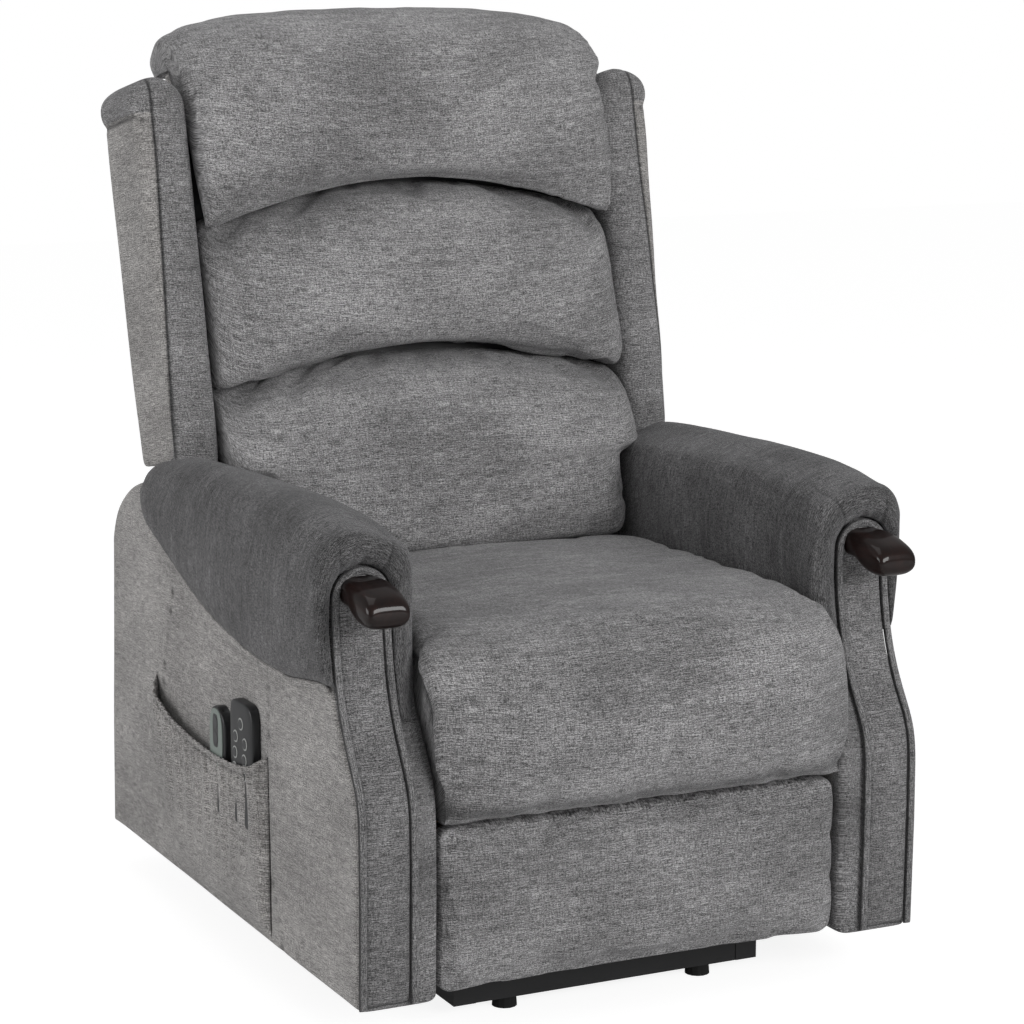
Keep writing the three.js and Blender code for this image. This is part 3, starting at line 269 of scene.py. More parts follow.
def stitched(name, front, back, flat, material, body, seam=None, through=False):
    """A piece from a front and a back grid that meet along their border, with one map for both. The painted
    shade of the seam shows on the back grid too where it goes `through`."""
    points, faces, edge = closed_pair(front, back)
    depth = None if seam is None else pair_values(seam, seam if through else 0 * seam, edge)
    return piece(name, points, faces, pair_values(flat, flat, edge), material, depth, body)


def puff(points, faces, held, pressure, cap, slack):
    """Blows a closed cover up like a stuffed one, with cloth simulation: `held` points stay, and none moves
    further than `cap`."""
    stiffness, frames = 12.0, 20
    mesh = bpy.data.meshes.new("cover")
    mesh.from_pydata(points.tolist(), [], faces.tolist())
    obj = bpy.data.objects.new("cover", mesh)
    bpy.context.scene.collection.objects.link(obj)
    group = obj.vertex_groups.new(name="held")
    tenths = np.round(np.clip(held, 0, 1) * 10).astype(int)
    for k in range(1, 11):
        group.add(np.nonzero(tenths == k)[0].tolist(), k / 10, "REPLACE")
    cloth = obj.modifiers.new("cloth", "CLOTH")
    settings = cloth.settings
    settings.quality = 5
    settings.mass = 0.3
    settings.tension_stiffness = settings.compression_stiffness = stiffness
    settings.shear_stiffness = stiffness / 2
    settings.bending_stiffness = 0.6
    settings.use_pressure = True
    settings.uniform_pressure_force = pressure
    settings.shrink_min = -slack
    settings.vertex_group_mass = "held"
    settings.effector_weights.gravity = 0
    cloth.point_cache.frame_start = 1
    cloth.point_cache.frame_end = frames
    scene = bpy.context.scene
    for number in range(1, frames + 1):
        scene.frame_set(number)
    blown = obj.evaluated_get(bpy.context.evaluated_depsgraph_get()).data
    moved = np.empty(len(points) * 3, np.float32)
    blown.vertices.foreach_get("co", moved)
    scene.frame_set(1)
    bpy.data.objects.remove(obj)
    bpy.data.meshes.remove(mesh)
    move = np.nan_to_num(moved.reshape(-1, 3).astype(float) - points)
    far = np.linalg.norm(move, axis=1, keepdims=True)
    return points + move * np.minimum(1, cap / np.maximum(far, 1e-9))


def welt_rings(path, wide, high, across, sides, power):
    """Rings of a welt along a path: superellipses `wide` by `high`, whose width points along `across`."""
    along = np.gradient(path, axis=0)
    along /= np.linalg.norm(along, axis=1, keepdims=True)
    flat = across - along * np.sum(across * along, axis=1, keepdims=True)
    flat /= np.linalg.norm(flat, axis=1, keepdims=True)
    proud = np.cross(along, flat)
    c, s = (v[None, :, None] / 2 for v in superellipse(sides, power))
    wide, high = (np.broadcast_to(v, len(path))[:, None, None] for v in (wide, high))
    return path[:, None] + flat[:, None] * c * wide + proud[:, None] * s * high


def face_lists(faces):
    """Quads as lists, with those that meet themselves at a corner as triangles."""
    first = faces[:, 0] == faces[:, 3]
    second = faces[:, 1] == faces[:, 2]
    whole = faces[~(first | second)].tolist()
    return whole + faces[first][:, :3].tolist() + faces[second][:, [0, 1, 3]].tolist()


def ring_piece(name, grid, material, body, seam=None, turned=False):
    """A closed tube from rings of points; both ends are closed by quads between the ring's two halves."""
    rows, cols = grid.shape[:2]
    points = grid.reshape(-1, 3)
    faces = [quads(rows, cols, around=True)]
    k = np.arange(cols // 2)
    for first in (0, (rows - 1) * cols):
        cap = np.stack([first + k, first + k + 1, first + cols - k - 1, first + (cols - k) % cols], -1)
        faces.append(cap if first else cap[:, ::-1])
    faces = np.vstack(faces)
    if volume_of(points, faces) < 0:
        faces = faces[:, ::-1]
    girth = np.linalg.norm(np.diff(grid[rows // 2], axis=0, append=grid[rows // 2][:1]), axis=1)
    around = np.concatenate([[0], np.cumsum(girth)[:-1]])
    middle = grid.mean(axis=1)
    along = np.concatenate([[0], np.cumsum(np.linalg.norm(np.diff(middle, axis=0), axis=1))])
    uv = np.stack(np.broadcast_arrays(along[:, None], around[None]), -1).reshape(-1, 2)
    return piece(name, points, faces, uv[:, ::-1] if turned else uv, material, seam, body)


def sided(name, side):
    """The name of a sub-part on the sitter's left or right."""
    return name + ("_left" if side > 0 else "_right")


# ------------------------------------------------------------------ finishes


def finish_of(name):
    """A new material with one Principled shader, and a function that adds a node to it."""
    material = bpy.data.materials.new(name)
    material.use_nodes = True
    tree = material.node_tree
    tree.nodes.clear()
    out = tree.nodes.new("ShaderNodeOutputMaterial")
    shader = tree.nodes.new("ShaderNodeBsdfPrincipled")
    tree.links.new(shader.outputs[0], out.inputs[0])

    def add(kind, values=(), **settings):
        made = tree.nodes.new("ShaderNode" + kind)
        for key, value in settings.items():
            setattr(made, key, value)
        for slot, value in dict(values).items():
            if isinstance(value, bpy.types.NodeSocket):
                tree.links.new(value, made.inputs[slot])
            else:
                made.inputs[slot].default_value = value
        return made

    def into(slot, value):
        if isinstance(value, bpy.types.NodeSocket):
            tree.links.new(value, shader.inputs[slot])
        else:
            shader.inputs[slot].default_value = value

    return material, add, into


def noise(add, place, scale, detail=2.0, rough=0.55):
    """Noise stretched by a different scale each way."""
    mapped = add("Mapping", {"Vector": place, "Scale": scale})
    made = add("TexNoise", {"Vector": mapped.outputs[0], "Scale": 1.0, "Detail": detail, "Roughness": rough})
    return made.outputs[0]


def sums(add, *pairs):
    """The weighted sum of several values."""
    total = None
    for value, weight in pairs:
        part = add("Math", {0: value, 1: weight}, operation="MULTIPLY").outputs[0]
        total = part if total is None else add("Math", {0: total, 1: part}, operation="ADD").outputs[0]
    return total


def level(add, value, low, high, to_low, to_high):
    """The value carried from one range to another and held at both ends."""
    ranges = {"Value": value, "From Min": low, "From Max": high, "To Min": to_low, "To Max": to_high}
    return add("MapRange", ranges).outputs[0]


def ramp(add, value, stops):
    """Colours along a value: each stop is a place and a colour."""
    made = add("ValToRGB", {"Fac": value})
    elements = made.color_ramp.elements
    while len(elements) < len(stops):
        elements.new(0.5)
    for element, (place, colour) in zip(elements, stops):
        element.position = place
        element.color = (*colour, 1)
    return made.outputs[0]


def chenille(name, tone, tint=(1.0, 0.985, 0.995), low=0.22, high=2.3, cloud=0.26):
    """Heathered chenille. Slubs run along u, each yarn lighter or darker than the next, over a plain weave;
    streaks and slow clouds show where the pile lies another way. `low` and `high` are the darkest and the
    lightest yarn against the tone. The seam attribute darkens the colour as painted shade in the seams'
    grooves, after the piece's own seam depth."""
    material, add, into = finish_of(name)
    place = add("UVMap", uv_map="cloth").outputs[0]
    slub = noise(add, place, (60, 980, 1))
    fleck = noise(add, place, (330, 980, 1))
    grain = noise(add, place, (1100, 1100, 1), 1.0)
    warp = noise(add, place, (900, 90, 1))
    mixed = sums(add, (slub, 0.26), (fleck, 0.30), (grain, 0.28), (warp, 0.16))
    heather = level(add, mixed, 0.42, 0.58, 0.0, 1.0)
    tones = ((0.0, tone * low), (0.5, tone * 0.93), (1.0, tone * high))
    yarn = ramp(add, heather, [(at, tuple(value * t for t in tint)) for at, value in tones])
    streaks = noise(add, place, (9, 110, 1), 2.0, 0.5)
    bars = noise(add, place, (110, 7, 1), 2.0, 0.5)
    clouds = noise(add, place, (5, 8, 1), 4.0, 0.6)
    lie = sums(add, (streaks, 0.30), (bars, 0.10), (clouds, 0.60))
    shade = level(add, lie, 0.40, 0.60, 1 - cloud, 1 + cloud)
    # painted shade: the seam attribute darkens the colour down to 0.16 of itself in the seams' grooves
    seam = add("Attribute", attribute_name="seam").outputs["Fac"]
    dark = level(add, seam, 0.0, 1.0, 1.0, 0.16)
    shade = add("Math", {0: shade, 1: dark}, operation="MULTIPLY").outputs[0]
    into("Base Color", add("VectorMath", {0: yarn, "Scale": shade}, operation="SCALE").outputs[0])
    into("Roughness", 0.92)
    into("Specular IOR Level", 0.15)
    into("Sheen Weight", 0.25)
    into("Sheen Roughness", 0.45)
    into("Sheen Tint", (0.9, 0.9, 0.92, 1))
    split = add("SeparateXYZ", {0: place})
    waves = []
    for k in (0, 1):
        turn = add("Math", {0: split.outputs[k], 1: 2 * PI / THREAD}, operation="MULTIPLY").outputs[0]
        waves.append(add("Math", {0: turn}, operation="SINE").outputs[0])
    weave = add("Math", {0: waves[0], 1: waves[1]}, operation="MULTIPLY").outputs[0]
    height = sums(add, (heather, 0.80), (weave, 0.16), (streaks, 0.6))
    into("Normal", add("Bump", {"Height": height, "Strength": 0.6, "Distance": 0.0010}).outputs[0])
    return material


def plain_finish(name, colour, rough, metal=0.0, grit=0.0, scale=900.0, bump=0.00004, spec=0.5):
    """A moulded or painted finish: fine grain in its height and a slow change of roughness over the surface.
    `grit` is how far the colour strays, `scale` the grains in a metre and `bump` their height."""
    material, add, into = finish_of(name)
    place = add("TexCoord").outputs["Object"]
    fine = noise(add, place, (scale, scale, scale))
    slow = noise(add, place, (14, 14, 14), 3.0)
    tone = level(add, sums(add, (fine, 0.5), (slow, 0.5)), 0.35, 0.65, 1 - grit, 1 + grit)
    into("Base Color", add("VectorMath", {0: colour, "Scale": tone}, operation="SCALE").outputs[0])
    into("Roughness", level(add, slow, 0.3, 0.7, rough * 0.85, min(1, rough * 1.15)))
    into("Metallic", metal)
    into("Specular IOR Level", spec)
    into("Normal", add("Bump", {"Height": fine, "Strength": 0.4, "Distance": bump}).outputs[0])
    return material


def mahogany():
    """Dark lacquered wood: a red-brown body with drawn-out grain under a clear, glossy coat."""
    material, add, into = finish_of("mahogany")
    place = add("TexCoord").outputs["Object"]
    rings = noise(add, place, (60, 7, 60), 4.0, 0.6)
    pores = noise(add, place, (900, 45, 900))
    grain = sums(add, (rings, 0.7), (pores, 0.3))
    dark, middle, light = (0.0030, 0.0010, 0.0008), (0.0085, 0.0026, 0.0018), (0.020, 0.0060, 0.0040)
    into("Base Color", ramp(add, grain, [(0.3, dark), (0.5, middle), (0.72, light)]))
    into("Roughness", 0.40)
    into("Specular IOR Level", 0.10)
    into("Coat Weight", 0.50)
    into("Coat Roughness", 0.05)
    into("Normal", add("Bump", {"Height": pores, "Strength": 0.15, "Distance": 0.0001}).outputs[0])
    return material


COVER = chenille("cover_chenille", 0.215)
# a darker copy of the same chenille for the arm pads: painted shade for the pile's lie and the shade on them
SHADED_PAD_COVER = chenille("arm_pad_chenille_painted_shade", 0.095, (1.0, 0.985, 1.0), 0.14, 2.7, 0.34)
# a lighter, warmer copy of the same chenille for the outer sides and rear: painted light
LIT_PANEL_COVER = chenille("side_chenille_painted_light", 0.300, (1.02, 0.985, 0.96), 0.28, 2.1, 0.20)
# a darker copy of the same chenille for the arm fronts, strips and welts: painted shade
SHADED_FRONT_COVER = chenille("front_chenille_painted_shade", 0.165)
# a lighter copy of the same chenille for the back pillows: painted light, as they lean away from the lamps
LIT_BACK_COVER = chenille("back_chenille_painted_light", 0.255)
WOOD = mahogany()
STEEL = plain_finish("powder_coated_steel", (0.012, 0.012, 0.013), 0.5, 0.0, 0.3, 1400.0, 0.00008)
ROD = plain_finish("ground_rod_steel", (0.55, 0.55, 0.56), 0.28, 1.0, 0.06, 500.0)
RUBBER = plain_finish("foot_rubber", (0.011, 0.011, 0.011), 0.8, 0.0, 0.2, 700.0, spec=0.3)
TIMBER = plain_finish("deck_board", (0.42, 0.29, 0.17), 0.75, 0.0, 0.2, 120.0)
MOTOR = plain_finish("motor_plastic", (0.022, 0.022, 0.024), 0.45, 0.0, 0.15, 1500.0)
SHELL_PLASTIC = plain_finish("handset_plastic", (0.012, 0.0125, 0.014), 0.36, 0.0, 0.12, 2200.0, 0.00003)
KEY_PLASTIC = plain_finish("key_plastic", (0.035, 0.036, 0.038), 0.4, 0.0, 0.12, 2200.0)
RING_PLASTIC = plain_finish("ring_plastic", (0.40, 0.41, 0.40), 0.4, 0.0, 0.05, 2200.0, 0.00002)
PLATE_PLASTIC = plain_finish("plate_plastic", (0.20, 0.235, 0.215), 0.42, 0.0, 0.06, 2200.0, 0.00002)


# ------------------------------------------------------------------ back pillows


def end_inset(s, half, radius):
    """How far an outline draws in near its round ends: a quarter circle, `radius` wide, at either end."""
    t = np.clip((np.abs(s) - (1 - radius / half)) / (radius / half), 0, 1)
    return radius * (1 - np.sqrt(np.clip(1 - t * t, 0, 1)))


def finer(grid):
    """The same grid with a row and a column put in between every two."""
    for axis in (0, 1):
        grid = np.moveaxis(grid, axis, 0)
        full = np.empty((2 * len(grid) - 1, *grid.shape[1:]))
        full[::2] = grid
        full[1::2] = (grid[:-1] + grid[1:]) / 2
        grid = np.moveaxis(full, 0, axis)
    return grid


def stuffed(front, back, tight, pressure, cap, slack):
    """The front grid of a stuffed cover, blown up by cloth simulation: every second row and column takes
    part, and the moves of those between are averaged. Points where `tight` is 1 stay."""
    points, faces, edge = closed_pair(front[::2, ::2], back[::2, ::2])
    held = pair_values(tight[::2, ::2], np.ones_like(tight[::2, ::2]), edge)
    blown = puff(points, faces, held, pressure, cap, slack)
    rows, cols = edge.shape
    return front + finer((blown - points)[:rows * cols].reshape(rows, cols, 3))


def outward(grid, way):
    """Unit normals of a grid, on the side where they run with `way` on the whole."""
    normal = grid_normals(grid)
    return normal if np.sum(normal * np.asarray(way)) > 0 else -normal


def side_gathers(u, v, half, seed):
    """Small gathers along the side seams: a cosine along the seam, uneven in pitch, that fades inwards."""
    pitch, reach = 9 * MM, 24 * MM
    rng = np.random.default_rng(seed)
    phase = 0
    for _ in range(3):
        share, length, start = rng.uniform(0.3, 0.8), rng.uniform(0.03, 0.11), rng.uniform(0, 6)
        phase = phase + share * np.sin(v * 2 * PI / length + start)
    wave = 0.5 + 0.5 * np.cos(v * 2 * PI / pitch + 2.2 * phase + np.sign(u))
    uneven = 0.65 + 0.35 * np.sin(v * 2 * PI / 0.047 + seed + 2 * np.sign(u))
    return wave * uneven * np.exp(-(half - np.abs(u)) / reach)


def pillow(name, middle, sides, crown, powers, half, corner, seed, folds, gathers=None):
    """A back pillow: at each station across, a curve of depths and heights between the `middle` one and the
    one at the `sides`, drawn towards its own rear line near the ends by a superellipse, then blown up by
    cloth simulation, gathered along its sides and creased. The rear line runs over the `crown` points;
    `half` gives the half width at a height, and `corner` is how far the corners draw in."""
    rows = 105
    s = spread(rows, 0.65)[None, :]
    q = np.linspace(0, 1, rows)[:, None]
    middle, sides = np.array(middle), np.array(sides)
    t = (np.abs(s) ** mix(powers[0], powers[1], q))[..., None]
    skin = mix(catmull(middle, rows)[:, None], catmull(sides, rows)[:, None], t)
    ends = [even(np.array([table[0], *crown, table[-1]]), rows)[:, None] for table in (middle, sides)]
    core = mix(*ends, t)
    full = rounded(s, 8.0) + 0 * q
    yz = core + (skin - core) * full[..., None]
    lift, drop = smooth(0.3, 0.0, q), 0 if crown else smooth(0.75, 1.0, q)
    yz[..., 1] += end_inset(s, CORNER_HALF, corner) * (lift - drop)
    x = s * half(yz[..., 1])
    front = np.concatenate([x[..., None], yz], -1)
    back = np.concatenate([x[..., None], core], -1)
    tight = np.where((q < 0.03) | (q > 0.97) | (full < 0.35), 1.0, 0.05)
    face = stuffed(front, back, tight, 2.5, 6 * MM, 0.03)
    normal = outward(face, (0, -1, 0.2))
    v = run_length(front, 0)
    level_v = v + front[:1, :, 2]
    sink = -1.0 * MM * swell(x, v, seed) - 0.5 * MM * swell(x, v, seed + 20, 0.04)
    sink = sink + 3.0 * MM * side_gathers(x, v, np.abs(x[:, -1:]), seed) * smooth(0.34, 0.22, v)
    if gathers:
        sink = sink + gathers(x, v)
    for start, end, width, depth in folds:
        sink = sink + depth * crease(face, start, end, width)
    face = face - normal * (sink * smooth(0.15, 0.7, full))[..., None]
    obj = stitched(name + "_cover", face, back, np.stack([x, level_v], -1), LIT_BACK_COVER, "back")
    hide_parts(name)


def corner_gathers(u, v):
    """Pleats that fan out from the upper corners, where the head pillow is sewn together."""
    total = 0
    for side in (-1, 1):
        across, along = side * HEAD_HIGH[0] - u, v - 0.262
        far = np.hypot(across, along)
        angle = np.arctan2(along, across * side + 1e-6)
        ridges = np.abs(np.sin(angle * 8 + 0.6 * side)) ** 0.6
        total = total + 5.5 * MM * (1 - ridges) * np.exp(-far / 0.065) * smooth(0.0, 0.015, far)
    return total


# the pillows in the side view, from the lower rear edge round the front to the upper one: depth, height
HEAD_MIDDLE = [
    (0.2505, 0.917), (0.2210, 0.919), (0.2010, 0.937), (0.1975, 0.983), (0.2100, 1.038), (0.2455, 1.091),
    (0.2930, 1.119), (0.3360, 1.1245), (0.3810, 1.118), (0.4180, 1.094), (0.4400, 1.063), (0.4360, 1.042),
    (0.4200, 1.039), (0.4045, 1.045),
]
HEAD_SIDE = [
    (0.2395, 0.859), (0.2280, 0.861), (0.2200, 0.876), (0.2260, 0.938), (0.2400, 1.001), (0.2650, 1.055),
    (0.3020, 1.089), (0.3460, 1.104), (0.3810, 1.098), (0.4110, 1.079), (0.4300, 1.056), (0.4290, 1.038),
    (0.4180, 1.036), (0.4045, 1.045),
]
MIDDLE_MIDDLE = [
    (0.262, 0.705), (0.212, 0.703), (0.180, 0.708), (0.167, 0.722), (0.165, 0.745), (0.170, 0.778),
    (0.181, 0.812), (0.199, 0.847), (0.226, 0.880), (0.262, 0.903), (0.305, 0.909),
]
MIDDLE_SIDE = [
    (0.252, 0.660), (0.210, 0.656), (0.187, 0.661), (0.178, 0.673), (0.179, 0.690), (0.187, 0.713),
    (0.1985, 0.741), (0.208, 0.765), (0.2195, 0.792), (0.234, 0.820), (0.252, 0.845), (0.276, 0.861),
    (0.294, 0.865),
]
LUMBAR_MIDDLE = [
    (0.209, 0.452), (0.140, 0.450), (0.110, 0.450), (0.098, 0.457), (0.0945, 0.473), (0.096, 0.492),
    (0.100, 0.515), (0.105, 0.545), (0.112, 0.580), (0.124, 0.615), (0.145, 0.648), (0.177, 0.675),
    (0.215, 0.690), (0.257, 0.694),
]
LUMBAR_SIDE = [
    (0.209, 0.452), (0.140, 0.450), (0.109, 0.4495), (0.0975, 0.456), (0.094, 0.470), (0.0965, 0.484),
    (0.103, 0.497), (0.111, 0.514), (0.117, 0.537), (0.123, 0.560), (0.134, 0.582), (0.150, 0.604),
    (0.170, 0.626), (0.196, 0.646), (0.223, 0.656), (0.250, 0.659),
]
CROWN = [(0.3425, SHELL_HIGH[2] + 2 * MM)]  # where the head pillow's rear line crosses the shell's top
CORNER_HALF = 0.28  # the half width that the pillows' corners are drawn in over

# folds: from, to (x and z), width, depth
HEAD_FOLDS = [
    ((0.212, 0.872), (0.205, 0.905), 4 * MM, 3.0 * MM),
    ((0.165, 0.884), (0.150, 0.902), 4 * MM, 1.8 * MM),
    ((0.275, 0.868), (0.255, 0.900), 5 * MM, 2.5 * MM),
    ((-0.285, 0.985), (-0.205, 1.035), 5 * MM, 3.5 * MM),
    ((-0.275, 0.905), (-0.245, 0.935), 5 * MM, 2.0 * MM),
    ((0.285, 0.985), (0.225, 1.020), 5 * MM, 2.5 * MM),
]
MIDDLE_FOLDS = [
    ((0.212, 0.672), (0.200, 0.700), 4 * MM, 2.2 * MM),
    ((0.262, 0.655), (0.245, 0.690), 5 * MM, 2.5 * MM),
    ((-0.262, 0.655), (-0.240, 0.685), 5 * MM, 2.0 * MM),
    ((-0.150, 0.688), (-0.140, 0.705), 4 * MM, 1.5 * MM),
]
LUMBAR_FOLDS = [
    ((0.255, 0.500), (0.205, 0.520), 5 * MM, 2.0 * MM),
    ((-0.255, 0.500), (-0.200, 0.515), 5 * MM, 2.0 * MM),
]


def head_half(z):
    """Half the width of the head pillow at height z: it swells out over the wings."""
    return mix(MIDDLE_HIGH[0] - 1 * MM, HEAD_HIGH[0], smooth(1.030, 1.065, z))


def middle_half(z):
    """Half the width of the middle pillow, the same all the way up."""
    return MIDDLE_HIGH[0] + 0 * z


def lumbar_half(z):
    """Half the width of the lumbar pillow at height z: it swells over the arm pads."""
    return mix(LUMBAR_HIGH[0] - 1 * MM, MIDDLE_HIGH[0], smooth(0.552, 0.575, z))


# ------------------------------------------------------------------ wings and shell


# a wing: height on the rear plane, outer edge at its rear, inner edge, front and rear ahead of the rear plane
WING_ROWS = np.array([
    [0.5600, 0.3500, 0.2900, -0.1020, -0.004], [0.5640, 0.3555, 0.2868, -0.1085, -0.001],
    [0.6000, 0.3572, 0.2860, -0.1105, 0.000], [0.6620, 0.3600, 0.2860, -0.1100, 0.000],
    [0.7400, 0.3615, 0.2860, -0.1085, 0.000], [0.8400, 0.3632, 0.2860, -0.1065, 0.000],
    [0.9300, 0.3650, 0.2860, -0.1045, 0.000], [0.9740, 0.3652, 0.2860, -0.1035, 0.000],
    [0.9830, 0.3675, 0.2860, -0.1035, 0.000], [0.9920, 0.3700, 0.2862, -0.1035, 0.000],
    [1.0010, 0.3705, 0.2870, -0.1030, 0.000], [1.0090, 0.3685, 0.2900, -0.1015, 0.000],
    [1.0160, 0.3640, 0.2950, -0.0990, -0.002], [1.0225, 0.3560, 0.3020, -0.0950, -0.006],
    [1.0280, 0.3450, 0.3120, -0.0880, -0.013], [1.0305, 0.3340, 0.3230, -0.0790, -0.022],
])
WING_RING = [
    (0.00, 0.60), (0.00, 0.34), (0.03, 0.14), (0.14, 0.025), (0.36, -0.035), (0.62, -0.040), (0.84, -0.005),
    (0.945, 0.030), (0.965, 0.062), (0.995, 0.100), (1.00, 0.22), (1.00, 0.55), (1.00, 0.90), (0.975, 0.985),
    (0.86, 1.00), (0.50, 1.01), (0.14, 1.00), (0.02, 0.98), (0.00, 0.88), (0.00, 0.601),
]


def wing(side):
    """A wing: rings up the back with a padded face and a flat side that nears the middle towards the front.
    The two are sewn together along the outer corner, and the side ends in a seam under a rolled cap."""
    cap = 0.981
    table = catmull(WING_ROWS, 112)
    height, out_rear, inner, front, rear = (table[:, k:k + 1] for k in range(5))
    ring = catmull(WING_RING, 171)[:-1]
    e, f = ring[:, 0][None, :], ring[:, 1][None, :]
    ahead = 1 - f
    taper = mix(12 * MM, 7 * MM, smooth(0.70, 0.95, height))
    x = inner + e * (out_rear - taper * ahead - inner)
    d = front + f * (rear - front)
    w = up_back(height) - mix(10 * MM, 2 * MM, e) * ahead * smooth(0.66, 0.56, height)
    sewn = mix(0.3455, 0.3370, smooth(0.60, 0.98, height))
    # seam lines along the outer corner, under the cap and at the tuck: dents, with painted shade in them
    corner = line_at(x - sewn, 2.0 * MM) * smooth(0.13, 0.09, f)
    under_cap = line_at(height - cap, 2.6 * MM) * smooth(0.90, 0.98, e) * smooth(0.02, 0.10, f)
    below_tuck = height - cap + 4 * MM + 30 * MM * (0.95 - e)
    tuck = line_at(below_tuck, 2.4 * MM) * smooth(0.66, 0.9, e) * (f < 0.07)
    seam = np.maximum(np.maximum(corner, under_cap), tuck * 0.8)
    x = x - under_cap * 3.4 * MM
    d = d + (corner * 2.4 + tuck * 2.2) * MM
    soft = swell(w + side, f * 0.1, 11) * 0.7 * MM
    grid = on_back(x, d, w + 0 * d) + soft[..., None] * np.array([0.7, -0.7, 0])
    grid[..., 0] *= side
    name = sided("wing", side)
    # the face takes the base chenille, the side the lighter, warmer copy: painted light on the side
    obj = ring_piece(name + "_cover", grid, COVER, "back", seam.reshape(-1), turned=True)
    obj.data.materials.append(LIT_PANEL_COVER)
    rows, cols = x.shape
    number = np.arange(len(obj.data.polygons))
    row, column = np.minimum(number // cols, rows - 2), number % cols
    lit_side = (x[row, column] > sewn[row, 0]) | (f[0, column] > 0.97)
    lit_side &= (number < (rows - 1) * cols) & (height[row, 0] < cap)
    obj.data.polygons.foreach_set("material_index", lit_side.astype(np.int32))
    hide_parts(name)


def back_shell():
    """The upholstered rear of the back: a slab between the wings whose rear face is slightly full, with a
    seam a hand's width in from either side."""
    low, top = up_back(SHELL_LOW[2]) + 12 * MM, up_back(SHELL_HIGH[2]) - 4 * MM
    w = mix(low, top, (spread(64, 0.6)[:, None] + 1) / 2)
    s = spread(60, 0.6)[None, :]
    narrow = ARM_IN - 3 * MM
    open_at = up_back(ARM_TOP + 38 * MM)
    half = mix(narrow, SHELL_HIGH[0] - 1 * MM, smooth(open_at - 1 * MM, open_at + 14 * MM, w))
    x = half * s
    edge_round = rounded(s, 9) * rounded(2 * (w - low) / (top - low) - 1, 18)
    mid = -18 * MM
    belly = 5 * MM * (1 - s**2) * smooth(low, low + 0.1, w) * smooth(top, top - 0.1, w)
    rear = mid + 18.5 * MM * edge_round + belly
    # the side seams and hem dent the rear face and get painted shade through the seam attribute
    side_seam = line_at(np.abs(x) - narrow * 0.80, 2.2 * MM)
    hem = line_at(w - low - 40 * MM, 2.0 * MM)
    seam = np.maximum(side_seam, hem * 0.7) * edge_round
    rear = rear - seam * 2.4 * MM
    front = mid - 17 * MM * edge_round
    flat = np.stack([x, w + 0 * s], -1)
    faces = on_back(x, rear, w), on_back(x, front, w)
    obj = stitched("back_shell_cover", *faces, flat, LIT_PANEL_COVER, "back", seam)
    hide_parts("back_shell")


# ------------------------------------------------------------------ seat


def end_columns(half, count, radius, share):
    """Places across a cushion with flat gussets: x, how full the section is there, and how deep in the seam,
    which is painted as shade.
    The top skin rolls over `radius` at either end, where it loses a `share` of its fullness, dips into a seam
    and runs down a gusset to nothing."""
    flat = np.linspace(0, half - radius, count)
    turn = np.linspace(0, PI / 2, 6)[1:]
    roll_x = half - radius + radius * np.sin(turn)
    roll_full = 1 - share * (1 - np.cos(turn))
    tail_full = np.array([1 - share * 1.25, 1 - share * 1.6, 1 - share * 2.2, 0.62, 0.35, 0.12, 0.0])
    tail_x = half - np.array([3.6, 4.4, 2.4, 1.5, 1.5, 2.0, 3.0]) * MM
    tail_seam = np.array([0.8, 1.0, 0.25, 0, 0, 0, 0])
    x = np.concatenate([flat, roll_x, tail_x])
    full = np.concatenate([np.ones(count), roll_full, tail_full])
    seam = np.concatenate([np.zeros(count + 4), [0.35], tail_seam])
    both = np.concatenate([full[:0:-1], full]), np.concatenate([seam[:0:-1], seam])
    return np.concatenate([-x[:0:-1], x]), *both


# the seat in the side view, from the lower rear edge over the top to the front seam: depth, height
SEAT_MIDDLE = [
    (0.115, 0.262), (0.117, 0.330), (0.1175, 0.400), (0.112, 0.446), (0.060, 0.4555), (-0.064, 0.462),
    (-0.194, 0.466), (-0.304, 0.467), (-0.376, 0.462), (-0.420, 0.446), (-0.444, 0.416), (-0.453, 0.370),
    (-0.450, 0.318), (-0.438, 0.276), (-0.420, 0.259), (-0.401, 0.259),
]
SEAT_SIDE = [
    (0.115, 0.262), (0.117, 0.330), (0.1170, 0.395), (0.111, 0.438), (0.060, 0.447), (-0.064, 0.450),
    (-0.194, 0.453), (-0.278, 0.453), (-0.336, 0.448), (-0.368, 0.434), (-0.390, 0.408), (-0.401, 0.368),
    (-0.407, 0.318), (-0.408, 0.278), (-0.405, 0.261), (-0.394, 0.259),
]
SEAT_FOLDS = [
    ((0.250, 0.268), (0.190, 0.300), 5 * MM, 2.5 * MM),
    ((0.245, 0.262), (0.215, 0.330), 6 * MM, 1.8 * MM),
    ((-0.250, 0.430), (-0.215, 0.405), 5 * MM, 2.0 * MM),
]


